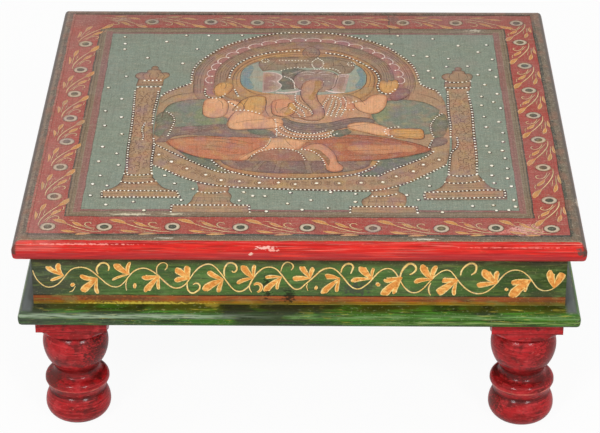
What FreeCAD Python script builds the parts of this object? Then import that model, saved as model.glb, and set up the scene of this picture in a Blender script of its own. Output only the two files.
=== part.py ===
"""Painted low table on four turned legs, built as a joiner builds it.

Millimetres, +Z up, +Y towards the back. The origin lies on the floor under the middle of the top.
"""

import FreeCAD, Part
import math
import os

Vector = FreeCAD.Vector
UP = Vector(0, 0, 1)
DOWN = Vector(0, 0, -1)

# Top: three boards glued edge to edge, inside a half round lipping that stands a little proud of them
table_width = 457.0
table_depth = 457.0
board_thickness = 16.4
lipping_thickness = 17.0
lipping_width = 12.0
top_corner_radius = 5.0
right_board_width = 135.0
middle_board_width = 149.0

# Apron box, set back under the top
top_overhang = 14.0
apron_height = 46.0
apron_thickness = 12.0
corner_block_side = 26.0

# Base frame under the apron box, with a half round outer edge
base_projection = 12.5
base_thickness = 16.0
base_rail_width = 72.0
base_corner_radius = 4.0

# Battens across the underside of the top boards
batten_width = 40.0
batten_thickness = 14.0
batten_offset = 110.0

# Turned legs, from the floor up
foot_base_radius = 20.5
foot_radius = 27.2
foot_height = 25.0
foot_crease_radius = 22.2
ring_fillet_radius = 23.6
ring_fillet_height = 1.2
ring_radius = 26.7
ring_band_height = 1.3
ring_height = 15.0
ring_top_radius = 22.6
neck_radius = 18.0
neck_height = 10.2
bulb_base_radius = 20.2
bulb_radius = 27.2
bulb_height = 34.3
bulb_top_radius = 20.0
quirk_height = 2.3
shoulder_start_radius = 27.3
shoulder_radius = 35.0
shoulder_height = 6.7
leg_block_side = 58.0
leg_block_height = 11.5

# Heights of the widest places, as shares of the turned member that they are on
foot_widest_share = 0.46
ring_widest_share = 0.66
bulb_widest_share = 0.57
neck_narrowest_share = 0.6

# Pins that hold the lipping, set just under the crown of its nose
pin_radius = 0.8
pin_head_radius = 1.4
pin_head_thickness = 0.8
pin_length = 25.0
pin_depth = 0.2
pin_end_margin = 20.0
pins_per_side = 5

# Nails down through the top boards into the aprons, heads flush under the paint
top_nail_radius = 1.1
top_nail_head_radius = 2.2
top_nail_head_thickness = 1.0
top_nail_length = 35.0
top_nail_end_margin = 40.0
top_nails_per_side = 4

# Nails up through the base rails into the aprons, heads flush
base_nail_radius = 1.3
base_nail_head_radius = 2.8
base_nail_head_thickness = 1.2
base_nail_length = 38.0
base_nail_leg_clearance = 20.0
base_nails_per_side = 5

# Countersunk screws, two down into each leg and one up into each top board from each batten
leg_screw_radius = 2.2
leg_screw_head_radius = 4.2
leg_screw_length = 35.0
leg_screw_offset = 11.0
batten_screw_radius = 1.8
batten_screw_head_radius = 3.5
batten_screw_length = 25.0
screw_slot_width = 0.9
screw_slot_depth = 0.8

# Nothing is cut exactly at a face: this is how far a cutting solid runs past it
overrun = 5.0

# Levels and reaches that follow from the sizes above
turned_height = foot_height + ring_height + neck_height + bulb_height + quirk_height + shoulder_height
leg_height = turned_height + leg_block_height
base_top = leg_height + base_thickness
apron_top = base_top + apron_height
board_top = apron_top + board_thickness
apron_half_width = table_width / 2 - top_overhang
apron_half_depth = table_depth / 2 - top_overhang
base_half_width = apron_half_width + base_projection
base_half_depth = apron_half_depth + base_projection
leg_x = apron_half_width - leg_block_side / 2
leg_y = apron_half_depth - leg_block_side / 2

# The sides in order round the table, each a quarter turn about Z from the one before
SIDES = ("front", "right", "rear", "left")
CORNERS = (("front_left", -1, -1), ("front_right", 1, -1), ("rear_left", -1, 1), ("rear_right", 1, 1))


def to_side(shape, side):
    """A copy of a shape modelled at the front, turned about Z to another side."""
    copy = shape.copy()
    copy.rotate(Vector(0, 0, 0), UP, 360 * SIDES.index(side) / len(SIDES))
    return copy


def moved(shape, x, y, z):
    """A copy of the shape moved by x, y and z."""
    copy = shape.copy()
    copy.translate(Vector(x, y, z))
    return copy


def plate(points, bottom, height):
    """A flat plate with the given outline in plan."""
    corners = [Vector(x, y, bottom) for x, y in points]
    return Part.Face(Part.makePolygon(corners + corners[:1])).extrude(UP * height)


def block(x_low, x_high, y_low, y_high, bottom, height):
    """A rectangular block between two corners in plan."""
    return Part.makeBox(x_high - x_low, y_high - y_low, height, Vector(x_low, y_low, bottom))


def spread(half_span, count):
    """Evenly spaced places from one end of a span to the other."""
    step = 2 * half_span / (count - 1)
    return [index * step - half_span for index in range(count)]


def mitred_plate(half_run, half_reach, width, bottom, height):
    """The front member of a mitred frame: its outer edge is at -Y, and its ends are cut at 45 degrees."""
    inner_run = half_run - width
    inner_reach = half_reach - width
    outline = (
        (-half_run, -half_reach),
        (half_run, -half_reach),
        (inner_run, -inner_reach),
        (-inner_run, -inner_reach),
    )
    return plate(outline, bottom, height)


def half_round_bar(half_run, half_reach, depth, bottom, height):
    """A long bar whose outer edge, at -Y, is a half round over its whole height."""
    nose = height / 2
    nose_y = nose - half_reach
    back_y = depth - half_reach
    low_front = Vector(-half_run, nose_y, bottom)
    high_front = Vector(-half_run, nose_y, bottom + height)
    tip = Vector(-half_run, -half_reach, bottom + nose)
    low_back = Vector(-half_run, back_y, bottom)
    high_back = Vector(-half_run, back_y, bottom + height)
    edges = [
        Part.LineSegment(low_back, low_front).toShape(),
        Part.Arc(low_front, tip, high_front).toShape(),
        Part.LineSegment(high_front, high_back).toShape(),
        Part.LineSegment(high_back, low_back).toShape(),
    ]
    return Part.Face(Part.Wire(edges)).extrude(Vector(2 * half_run, 0, 0))


def rounded_plate(half_x, half_y, radius, bottom, height):
    """A rectangular plate whose four upright edges are rounded."""
    whole = block(-half_x, half_x, -half_y, half_y, bottom, height)
    upright = [edge for edge in whole.Edges if abs(edge.tangentAt(edge.FirstParameter).z) > 0.5]
    return whole.makeFillet(radius, upright)


def nosed_member(half_run, half_reach, width, bottom, height, corner_radius):
    """The front member of a mitred frame with a half round outer edge and softened corners."""
    bar = half_round_bar(half_run, half_reach, width + height, bottom, height)
    member = bar.common(mitred_plate(half_run, half_reach, width, bottom, height))
    return member.common(rounded_plate(half_run, half_reach, corner_radius, bottom, height))


def nail(shank_radius, head_radius, head_thickness, length):
    """A flat headed nail that points down, with the top of its head at the origin."""
    point = 2 * shank_radius
    shank_end = length - point
    head = Part.makeCylinder(head_radius, head_thickness, Vector(0, 0, 0), DOWN)
    shank = Part.makeCylinder(shank_radius, shank_end, Vector(0, 0, 0), DOWN)
    tip = Part.makeCone(shank_radius, 0, point, Vector(0, 0, -shank_end), DOWN)
    return head.fuse([shank, tip]).removeSplitter()


def screw(shank_radius, head_radius, length):
    """A slotted countersunk wood screw that points down, with the top of its head at the origin."""
    head_height = head_radius - shank_radius
    point = 2 * shank_radius
    shank_end = length - point
    head = Part.makeCone(head_radius, shank_radius, head_height, Vector(0, 0, 0), DOWN)
    shank = Part.makeCylinder(shank_radius, shank_end - head_height, Vector(0, 0, -head_height), DOWN)
    tip = Part.makeCone(shank_radius, 0, point, Vector(0, 0, -shank_end), DOWN)
    slot = block(
        -head_radius, head_radius, -screw_slot_width / 2, screw_slot_width / 2, -screw_slot_depth, overrun
    )
    return head.fuse([shank, tip]).removeSplitter().cut(slot)


def screw_hole(shank_radius, head_radius, length):
    """The wood that a screw takes up: the screw without its slot."""
    head_height = head_radius - shank_radius
    point = 2 * shank_radius
    shank_end = length - point
    head = Part.makeCone(head_radius, shank_radius, head_height, Vector(0, 0, 0), DOWN)
    shank = Part.makeCylinder(shank_radius, shank_end - head_height, Vector(0, 0, -head_height), DOWN)
    tip = Part.makeCone(shank_radius, 0, point, Vector(0, 0, -shank_end), DOWN)
    return head.fuse([shank, tip]).removeSplitter()


def upside_down(shape):
    """The same fastener pointing up."""
    copy = shape.copy()
    copy.rotate(Vector(0, 0, 0), Vector(1, 0, 0), 180)
    return copy


def half_sizes(side, half_width, half_depth):
    """Half the run and the outer reach of a side's member, from half the frame's width and depth."""
    return (half_width, half_depth) if side in ("front", "rear") else (half_depth, half_width)


def lipping_pins(pin):
    """Copies of a pin, laid level through the half round into the boards."""
    pins = []
    level = apron_top + lipping_thickness / 2
    lying = pin.copy()
    lying.rotate(Vector(0, 0, 0), Vector(1, 0, 0), 90)
    for side in SIDES:
        half_run, half_reach = half_sizes(side, table_width / 2, table_depth / 2)
        for along in spread(half_run - lipping_width - pin_end_margin, pins_per_side):
            pins.append(to_side(moved(lying, along, pin_depth - half_reach, level), side))
    return pins


def top_nails():
    """Nails driven down through the boards into the middle of each apron's top edge."""
    nails = []
    one = nail(top_nail_radius, top_nail_head_radius, top_nail_head_thickness, top_nail_length)
    for side in SIDES:
        half_run, half_reach = half_sizes(side, apron_half_width, apron_half_depth)
        line = apron_thickness / 2 - half_reach
        for along in spread(half_run - top_nail_end_margin, top_nails_per_side):
            nails.append(to_side(moved(one, along, line, board_top), side))
    return nails


def base_nails():
    """Nails driven up through the base rails into the middle of each apron's bottom edge."""
    nails = []
    one = upside_down(
        nail(base_nail_radius, base_nail_head_radius, base_nail_head_thickness, base_nail_length)
    )
    for side in SIDES:
        half_run, half_reach = half_sizes(side, apron_half_width, apron_half_depth)
        line = apron_thickness / 2 - half_reach
        for along in spread(half_run - leg_block_side - base_nail_leg_clearance, base_nails_per_side):
            nails.append(to_side(moved(one, along, line, leg_height), side))
    return nails


def leg_screw_places():
    """Two places on each leg, one through each of the two base rails that meet there."""
    places = []
    for name, x_sign, y_sign in CORNERS:
        for way in (1, -1):
            x = x_sign * (leg_x + way * leg_screw_offset)
            y = y_sign * (leg_y - way * leg_screw_offset)
            places.append((x, y))
    return places


def batten_screw_places():
    """One place in the middle of each board on each batten."""
    right_edge = table_width / 2 - lipping_width
    right_seam = right_edge - right_board_width
    left_seam = right_seam - middle_board_width
    middles = ((right_edge + right_seam) / 2, (right_seam + left_seam) / 2, (left_seam - right_edge) / 2)
    return [(x, y) for y in (-batten_offset, batten_offset) for x in middles]


def at_places(shape, places, level):
    """A copy of the shape at each place in plan."""
    return [moved(shape, x, y, level) for x, y in places]


def make_fasteners():
    """Each group of fasteners, and the room that each takes up in the wood."""
    leg_screw = screw(leg_screw_radius, leg_screw_head_radius, leg_screw_length)
    leg_hole = screw_hole(leg_screw_radius, leg_screw_head_radius, leg_screw_length)
    batten_screw = upside_down(screw(batten_screw_radius, batten_screw_head_radius, batten_screw_length))
    batten_hole = upside_down(
        screw_hole(batten_screw_radius, batten_screw_head_radius, batten_screw_length)
    )
    batten_bottom = apron_top - batten_thickness
    pin = nail(pin_radius, pin_head_radius, pin_head_thickness, pin_length)
    pin_mouth = Part.makeCylinder(pin_head_radius, overrun)
    groups = {
        "lipping_pins": lipping_pins(pin),
        "top_nails": top_nails(),
        "base_nails": base_nails(),
        "leg_screws": at_places(leg_screw, leg_screw_places(), base_top),
        "batten_screws": at_places(batten_screw, batten_screw_places(), batten_bottom),
    }
    room = {
        "lipping_pins": lipping_pins(pin.fuse(pin_mouth).removeSplitter()),
        "top_nails": groups["top_nails"],
        "base_nails": groups["base_nails"],
        "leg_screws": at_places(leg_hole, leg_screw_places(), base_top),
        "batten_screws": at_places(batten_hole, batten_screw_places(), batten_bottom),
    }
    return groups, room


def drilled(shape, room, *groups):
    """The shape less the room of the fasteners in the named groups."""
    box = shape.BoundBox
    near = [solid for group in groups for solid in room[group] if box.intersect(solid.BoundBox)]
    return shape.cut(near) if near else shape


def make_boards(room):
    """The three top boards, with their grain from front to back."""
    half_width = table_width / 2 - lipping_width
    half_depth = table_depth / 2 - lipping_width
    right_seam = half_width - right_board_width
    left_seam = right_seam - middle_board_width
    edges = {
        "top_board_left": (-half_width, left_seam),
        "top_board_middle": (left_seam, right_seam),
        "top_board_right": (right_seam, half_width),
    }
    boards = {}
    for name, (x_low, x_high) in edges.items():
        board = block(x_low, x_high, -half_depth, half_depth, apron_top, board_thickness)
        boards[name] = drilled(board, room, "lipping_pins", "top_nails", "batten_screws")
    return boards


def make_lippings(room):
    """The four mitred edge strips of the top."""
    strips = {}
    for side in SIDES:
        half_run, half_reach = half_sizes(side, table_width / 2, table_depth / 2)
        strip = nosed_member(
            half_run, half_reach, lipping_width, apron_top, lipping_thickness, top_corner_radius
        )
        strips["top_lipping_" + side] = drilled(to_side(strip, side), room, "lipping_pins")
    return strips


def make_aprons(room):
    """The four mitred boards of the box under the top."""
    aprons = {}
    for side in SIDES:
        half_run, half_reach = half_sizes(side, apron_half_width, apron_half_depth)
        board = mitred_plate(half_run, half_reach, apron_thickness, base_top, apron_height)
        aprons["apron_" + side] = drilled(to_side(board, side), room, "top_nails", "base_nails")
    return aprons


def make_base_rails(room):
    """The four mitred rails of the base frame, which carry the box and take the legs."""
    rails = {}
    for side in SIDES:
        half_run, half_reach = half_sizes(side, base_half_width, base_half_depth)
        rail = nosed_member(
            half_run, half_reach, base_rail_width, leg_height, base_thickness, base_corner_radius
        )
        rails["base_rail_" + side] = drilled(to_side(rail, side), room, "base_nails", "leg_screws")
    return rails


def make_corner_blocks():
    """Three cornered glue blocks that stiffen the mitres of the apron box."""
    blocks = {}
    inner_x = apron_half_width - apron_thickness
    inner_y = apron_half_depth - apron_thickness
    for name, x_sign, y_sign in CORNERS:
        outline = (
            (x_sign * inner_x, y_sign * inner_y),
            (x_sign * (inner_x - corner_block_side), y_sign * inner_y),
            (x_sign * inner_x, y_sign * (inner_y - corner_block_side)),
        )
        blocks["corner_block_" + name] = plate(outline, base_top, apron_height)
    return blocks


def make_battens(room):
    """Two battens across the boards, from apron to apron."""
    battens = {}
    half_length = apron_half_width - apron_thickness
    for name, offset in (("front", -batten_offset), ("rear", batten_offset)):
        batten = block(
            -half_length,
            half_length,
            offset - batten_width / 2,
            offset + batten_width / 2,
            apron_top - batten_thickness,
            batten_thickness,
        )
        battens["batten_" + name] = drilled(batten, room, "batten_screws")
    return battens


def belly(wide_radius, wide_z, end_radius, end_z):
    """An arc in the XZ plane that is upright at its widest place and ends at the given radius."""
    inset = wide_radius - end_radius
    rise = end_z - wide_z
    arc_radius = (inset * inset + rise * rise) / (2 * inset)
    centre = wide_radius - arc_radius
    half_angle = math.atan2(rise, end_radius - centre) / 2
    middle_radius = centre + arc_radius * math.cos(half_angle)
    middle = Vector(middle_radius, 0, wide_z + arc_radius * math.sin(half_angle))
    return Part.Arc(Vector(wide_radius, 0, wide_z), middle, Vector(end_radius, 0, end_z)).toShape()


def leg_outline():
    """The turned profile of a leg, from the axis at the floor up to the top of its square block."""
    ring_low = foot_height
    neck_low = ring_low + ring_height
    bulb_low = neck_low + neck_height
    bulb_high = bulb_low + bulb_height
    shoulder_low = bulb_high + quirk_height
    block_low = turned_height
    foot_wide = foot_height * foot_widest_share
    ring_wide = ring_low + ring_height * ring_widest_share
    neck_narrow = neck_low + neck_height * neck_narrowest_share
    bulb_wide = bulb_low + bulb_height * bulb_widest_share
    fillet_high = ring_low + ring_fillet_height
    band_low = ring_wide - ring_band_height
    block_reach = leg_block_side + overrun
    crease = Vector(foot_crease_radius, 0, ring_low)
    fillet_bottom = Vector(ring_fillet_radius, 0, ring_low)
    fillet_top = Vector(ring_fillet_radius, 0, fillet_high)
    band_bottom = Vector(ring_radius, 0, band_low)
    band_top = Vector(ring_radius, 0, ring_wide)
    bulb_end = Vector(bulb_top_radius, 0, bulb_high)
    quirk_end = Vector(bulb_top_radius, 0, shoulder_low)
    shoulder_start = Vector(shoulder_start_radius, 0, shoulder_low)
    shoulder_end = Vector(shoulder_radius, 0, block_low)
    block_bottom = Vector(block_reach, 0, block_low)
    block_top = Vector(block_reach, 0, leg_height)
    axis_top = Vector(0, 0, leg_height)
    axis_bottom = Vector(0, 0, 0)
    shoulder_step = shoulder_radius - shoulder_start_radius
    quarter = math.sqrt(0.5)
    shoulder_middle = Vector(
        shoulder_start_radius + shoulder_step * quarter, 0, block_low - shoulder_height * quarter
    )
    return [
        Part.LineSegment(axis_bottom, Vector(foot_base_radius, 0, 0)).toShape(),
        belly(foot_radius, foot_wide, foot_base_radius, 0),
        belly(foot_radius, foot_wide, foot_crease_radius, ring_low),
        Part.LineSegment(crease, fillet_bottom).toShape(),
        Part.LineSegment(fillet_bottom, fillet_top).toShape(),
        Part.LineSegment(fillet_top, band_bottom).toShape(),
        Part.LineSegment(band_bottom, band_top).toShape(),
        belly(ring_radius, ring_wide, ring_top_radius, neck_low),
        Part.Arc(
            Vector(ring_top_radius, 0, neck_low),
            Vector(neck_radius, 0, neck_narrow),
            Vector(bulb_base_radius, 0, bulb_low),
        ).toShape(),
        belly(bulb_radius, bulb_wide, bulb_base_radius, bulb_low),
        belly(bulb_radius, bulb_wide, bulb_top_radius, bulb_high),
        Part.LineSegment(bulb_end, quirk_end).toShape(),
        Part.LineSegment(quirk_end, shoulder_start).toShape(),
        Part.Arc(shoulder_start, shoulder_middle, shoulder_end).toShape(),
        Part.LineSegment(shoulder_end, block_bottom).toShape(),
        Part.LineSegment(block_bottom, block_top).toShape(),
        Part.LineSegment(block_top, axis_top).toShape(),
        Part.LineSegment(axis_top, axis_bottom).toShape(),
    ]


def make_legs(room):
    """Four legs, each turned from one square billet whose top is left square."""
    profile = Part.Face(Part.Wire(Part.__sortEdges__(leg_outline())))
    turned_solid = profile.revolve(Vector(0, 0, 0), UP, 360)
    half = leg_block_side / 2
    leg = turned_solid.common(block(-half, half, -half, half, 0, leg_height))
    legs = {}
    for name, x_sign, y_sign in CORNERS:
        placed = moved(leg, x_sign * leg_x, y_sign * leg_y, 0)
        legs["leg_" + name] = drilled(placed, room, "leg_screws")
    return legs


def main():
    """Builds every piece and writes one file for each node."""
    groups, room = make_fasteners()
    nodes = {}
    nodes.update(make_boards(room))
    nodes.update(make_lippings(room))
    nodes.update(make_aprons(room))
    nodes.update(make_base_rails(room))
    nodes.update(make_corner_blocks())
    nodes.update(make_battens(room))
    nodes.update(make_legs(room))
    nodes.update({name: Part.makeCompound(solids) for name, solids in groups.items()})
    os.makedirs("parts", exist_ok=True)
    for name, shape in nodes.items():
        shape.exportStep("parts/" + name + ".step")
        print(name, len(shape.Solids), "solids", round(shape.Volume), "mm3", shape.isValid())


main()
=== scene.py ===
"""Dresses the painted low table: paint, varnish, picture, beads, wear, and the stage it is seen on."""

import math

import bmesh
import bpy
from mathutils import Color, Matrix, Vector
from mathutils.kdtree import KDTree


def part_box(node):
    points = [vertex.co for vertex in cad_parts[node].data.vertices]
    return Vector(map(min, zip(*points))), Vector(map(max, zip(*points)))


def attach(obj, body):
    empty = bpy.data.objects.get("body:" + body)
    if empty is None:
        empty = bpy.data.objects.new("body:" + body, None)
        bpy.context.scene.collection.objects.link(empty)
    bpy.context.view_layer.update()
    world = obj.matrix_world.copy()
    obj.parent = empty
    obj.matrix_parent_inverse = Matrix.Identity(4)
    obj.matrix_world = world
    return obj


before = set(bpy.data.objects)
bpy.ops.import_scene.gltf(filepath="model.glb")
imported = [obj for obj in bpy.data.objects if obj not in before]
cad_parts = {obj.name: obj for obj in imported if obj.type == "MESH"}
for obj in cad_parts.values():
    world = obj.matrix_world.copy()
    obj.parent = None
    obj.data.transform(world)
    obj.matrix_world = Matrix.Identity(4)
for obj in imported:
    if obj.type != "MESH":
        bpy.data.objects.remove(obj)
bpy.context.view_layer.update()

bl_info = {
    "name": "Painted Low Table",
    "version": (1, 0, 0),
    "blender": (4, 5, 0),
    "location": "3D View > Sidebar > Low Table",
    "description": "Paints and varnishes a joiner's low table on four turned legs",
    "category": "Object",
}

SIDES = ("front", "right", "rear", "left")
CORNERS = ("front_left", "front_right", "rear_left", "rear_right")
MM = 0.001

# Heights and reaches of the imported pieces, in millimetres
APRON_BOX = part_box("apron_front")
LIPPING_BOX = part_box("top_lipping_front")
BOARD_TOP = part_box("top_board_middle")[1].z / MM
LIPPING_TOP = LIPPING_BOX[1].z / MM
TABLE_HALF = LIPPING_BOX[1].x / MM
APRON_FACE = APRON_BOX[0].y / MM
APRON_FOOT = APRON_BOX[0].z / MM
APRON_HEAD = APRON_BOX[1].z / MM
BASE_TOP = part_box("base_rail_front")[1].z / MM
LEG_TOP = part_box("leg_front_right")[1].z / MM

# Painted plates start a little below the face of the boards, and are cut into cells to carry their shading
PAINT_FOOT = BOARD_TOP - 0.02
PLATE_CELL = 4.0

# How far in from an edge a painted line counts as lying, so that it isn't shaded, in millimetres
WELL_INSIDE = 9.0

# How far apart the noise of two mottled coats lies
SEED_STEP = 4.7

# The camera of the photograph, from a fit to the table's corners: place in metres, and angles in radians
CAMERA_PLACE = (0.013659, -1.860916, 1.115065)
CAMERA_DIP = 0.5061
CAMERA_YAW = -0.0079
CAMERA_ROLL = 0.0003

# What the lamps look at, and half the side of the floor, in metres
LAMP_AIM = (0.0, 0.0, 0.12)
FLOOR_HALF = 6.0

# The picture is drawn on a squared sheet, three squares to a millimetre, from the rear left corner
SQUARES = 3.0

# Paint shapes of the picture: paint, coat, outline. A point marked ! is a corner
SHAPES = (
    # Throne back, pillars and feet
    ("ochre", 1, "302,840 300,700 303,610 308,560 340,517 384,480! 384,430 395,381 426,307 474,244"
                 " 538,196 611,165 690,155 769,165 842,196 906,244 954,307 985,381 1000,484! 1040,523"
                 " 1055,560 1064,700 1060,880 1049,950! 1000,1002 944,1050 900,1076 855,1089 723,1087"
                 " 600,1081 512,1072 418,1042 372,1010 308,956!"),
    ("ochre", 1, "424,1050! 507,1066! 503,1098! 512,1116 512,1150 530,1164! 560,1164! 560,1200!"
                 " 368,1200! 368,1164! 405,1164! 414,1148 420,1120 430,1098! 430,1080!"),
    ("ochre", 1, "853,1080! 928,1056! 925,1092! 940,1112 942,1140 938,1169! 967,1170! 968,1200!"
                 " 803,1200! 803,1169! 836,1168! 834,1138 850,1118 858,1102!"),
    ("ochre", 2, "240,506! 304,506! 300,600 295,720 300,810 306,960 311,1004! 313,1024! 322,1042!"
                 " 332,1062 348,1082 378,1094! 388,1128! 190,1128! 193,1094! 215,1082 229,1064 236,1046!"
                 " 238,1024! 240,1004! 243,920 240,700 236,540"),
    ("ochre", 2, "1066,504! 1134,504! 1127,540 1131,640 1128,760 1127,920 1124,996! 1132,1020!"
                 " 1138,1034! 1146,1056 1160,1074 1190,1083! 1190,1130! 986,1134! 988,1096! 1015,1084"
                 " 1032,1066 1042,1044! 1046,1022! 1052,1004! 1058,940 1066,880 1070,800 1068,680"
                 " 1070,584"),
    ("dome", 3, "236,500! 240,460! 230,442 233,426 246,417 258,418 262,404 274,397 288,398 297,406"
                " 300,418 314,418 322,430 320,444 308,460! 307,500!"),
    ("dome", 3, "1064,500! 1068,460! 1060,442 1063,428 1076,417 1087,417 1090,404 1100,397 1114,398"
                " 1123,406 1125,417 1136,418 1143,430 1142,444 1136,460! 1136,500!"),
    ("dome", 4, "272,396 271,386 280,377 289,386 288,396"),
    ("dome", 4, "1099,396 1098,386 1107,377 1116,386 1114,396"),
    # Rings of the arch
    ("burgundy", 2, "398,560 392,470 398,400 425,325 470,260 536,206 612,174 690,164 768,174 844,206"
                    " 905,258 950,325 976,400 985,470 978,520 950,600 900,640 450,640"),
    ("plum", 3, "425,560 418,470 424,405 448,338 488,280 548,230 618,200 690,190 762,200 832,230 888,280"
                " 928,338 950,405 958,470 948,560 880,620 480,620"),
    ("umber", 4, "452,560 446,470 450,408 472,345 508,298 562,252 622,226 690,218 758,226 818,252"
                 " 872,298 906,345 924,408 930,470 920,560 860,600 500,600"),
    ("gold", 5, "476,560 476,460 487,400 512,346 548,310 600,278 650,262 690,258 740,264 790,284 838,322"
                " 872,368 893,420 897,470 890,530 860,590 520,590"),
    ("gold_light", 6, "500,540 492,470 500,410 526,356 566,318 620,292 684,284 748,292 806,318 848,360"
                      " 874,412 880,470 870,530 830,580 560,580"),
    ("disc_green", 7, "514,450 520,400 545,360 590,335 684,322 780,335 830,368 852,410 856,450 848,494"
                      " 826,524 780,544 600,545 550,526 520,492"),
    ("disc_blue", 8, "517,448 523,402 540,370 548,380 540,450 544,520 530,512 520,488"),
    ("disc_blue", 8, "840,386 850,412 853,450 846,494 834,516 838,450"),
    ("umber", 8, "706,246 722,262 730,290 722,318 706,332 690,318 682,290 690,262"),
    # Cushions behind the figure
    ("bolster", 3, "316,690 322,640 340,606 372,588 410,580 470,600 480,680 488,730 420,738 350,752"
                   " 322,790"),
    ("bolster", 3, "872,700 868,640 884,610 915,584 960,580 1010,598 1046,640! 1040,670 1026,700"
                   " 1012,780 960,760 900,740"),
    ("bolster_light", 4, "410,640 440,610 486,690 480,726 430,732 400,700"),
    ("bolster_light", 4, "880,640 905,616 930,650 914,690 884,704"),
    ("bolster_dark", 4, "306,670 326,655 342,680 350,712 344,752 334,796! 312,800 304,740"),
    ("bolster_dark", 4, "1052,662 1062,690 1062,740 1050,790 1030,816! 1022,790 1017,750 1026,702"),
    ("sash", 4, "1016,826 1030,800 1052,800 1056,830 1030,850 1010,856"),
    ("teal_deep", 3, "360,862! 440,915 540,932 560,1000 500,996 462,985 410,945!"),
    ("teal_deep", 3, "830,925 930,914 980,892 1016,868! 1010,886 958,940 900,992 872,1010! 830,1010"
                     " 850,970"),
    ("sash", 4, "318,800 340,752 400,742 486,728 520,742 620,770 620,800 500,800 420,792 352,800 336,828"
                " 306,832!"),
    # Lotus seat
    ("gold", 4, "458,930! 878,930! 872,962 846,992 780,1014 695,1024 612,1022 552,1008 502,984 474,958"),
    ("lotus", 5, "478,930! 862,930! 850,962 812,984 740,998 660,1000 580,994 520,976 490,952"),
    ("lotus_dark", 6, "592,934! 622,934! 614,994! 570,986!"),
    ("lotus_dark", 6, "636,934! 690,934! 698,998! 628,998!"),
    ("lotus_dark", 6, "706,934! 750,934! 790,986! 712,998!"),
    ("lotus_dark", 6, "516,936! 580,936! 556,986! 530,978!"),
    ("seat_red", 7, "552,932! 560,905 582,882 612,868 640,864 668,876 690,905 700,932!"),
    # Robe over the crossed legs
    ("robe", 6, "336,824 372,806 420,798 500,800 598,806! 602,830 592,858 560,900 540,930 500,932"
                " 440,920 392,896 356,862"),
    ("robe_right", 6, "672,830 730,806 800,786 860,792 930,812 1000,850 1016,866! 980,892 930,912"
                      " 860,928 800,934 760,930 720,880"),
    ("robe_light", 7, "350,826 420,812 500,824 470,850 400,850"),
    ("robe_light", 7, "800,860 880,846 980,862 930,884 840,890"),
    ("skin", 8, "598,806! 660,812 700,818! 690,840 668,872 640,862 612,866 586,880 556,908 545,928!"
                " 524,926 560,880 588,850"),
    ("skin_rose", 8, "684,868! 700,846 728,836 752,860 770,900 776,940 790,972 776,990 752,984 744,955"
                     " 728,905 706,880"),
    ("gold", 9, "700,872! 720,868 742,896 756,930 752,960! 738,916 722,890"),
    # Body
    ("skin_dim", 6, "520,600 548,562 600,548 700,548 790,545 828,566 850,612 864,672 850,705 800,735"
                    " 806,780 760,800 690,806 620,796 606,770 560,750 520,700"),
    ("teal_deep", 7, "540,760! 575,752 606,768 612,798! 580,792 552,778"),
    ("teal_deep", 7, "762,772 800,752! 812,768 800,786 770,798"),
    ("skin_yellow", 7, "458,486 474,478 492,486 497,505 492,530 484,548 464,562 450,552 443,520"),
    ("skin", 7, "428,584 452,574 474,578 486,604 488,640 482,676 458,692 430,684 421,650 422,610"),
    ("skin", 6, "476,600 500,586 522,604 530,640 508,680 484,690 478,650"),
    ("skin_yellow", 7, "500,650 512,612 532,576 560,560 584,566 588,600 586,640 574,668 540,656"),
    ("skin", 8, "506,656 540,652 572,668 600,690 622,690 628,742 600,752 556,756 500,756 488,734 492,700"),
    ("skin_rose", 7, "604,592 622,580 648,578 664,596 668,636 660,668 636,684 612,676 602,640"),
    ("skin_yellow", 8, "652,600 664,606 666,640 656,664 640,672 644,640"),
    ("purple", 6, "926,520 950,506 968,520 966,552 944,580 924,584 916,552"),
    ("skin_yellow", 8, "892,470 900,462 912,470 914,458 924,466 932,458 942,476 936,520 924,538 904,542"
                       " 890,516"),
    ("skin", 7, "820,596 846,588 864,560 886,548 906,556 908,590 896,640 874,664 846,658 824,628"),
    ("skin_rose", 7, "788,570 806,566 818,600 820,640 806,650 792,620"),
    ("skin", 8, "804,728 838,712 876,724 912,752 918,786 890,792 846,772 806,750"),
    ("skin_yellow", 8, "914,758 950,750 994,752! 1000,778 994,808! 968,806 920,796 910,776"),
    ("sash", 7, "636,690 662,712 704,724 756,716 806,692 850,688 874,706 862,722 812,738 756,766 700,778"
                " 654,768 636,740"),
    # Head
    ("crown", 8, "574,408! 562,366 566,346 584,328 620,318 700,316 760,318 808,330 822,352 824,384"
                 " 812,418! 784,428! 764,404 730,386 690,386 650,392 626,404 596,402"),
    ("hair", 9, "626,402! 660,390 694,398! 676,428 664,440 660,470 664,516! 628,524! 620,480 626,436"),
    ("face", 9, "662,440! 686,404! 720,398 752,404! 776,430 774,470 768,506 748,530 684,530 668,506"),
    ("ear", 9, "576,413! 600,415 618,425 627,438 624,456 616,474 626,494 622,514 606,534 576,541!"),
    ("ear", 9, "774,434! 790,425 810,428! 806,460 796,540! 776,537 764,524 768,480"),
    ("ear_rose", 10, "580,426! 600,430 610,440 604,474 608,500 598,520 580,528!"),
    ("ear_rose", 10, "786,444 800,440! 796,480 788,524! 778,514 780,470"),
    ("ear_rose", 10, "664,452 678,462 680,500 668,514 660,480"),
    ("trunk", 10, "684,486 702,460 726,452 740,482 736,510 726,530 722,556 726,590 736,620 742,660"
                  " 738,690 722,706 696,704 674,690 660,690 652,680 668,672 688,684 706,680 712,660"
                  " 700,620 686,588 678,540"),
    ("trunk_gold", 11, "722,462 732,470 734,496 728,526 718,552 712,584 702,580 708,548 716,510 716,480"),
)

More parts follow.
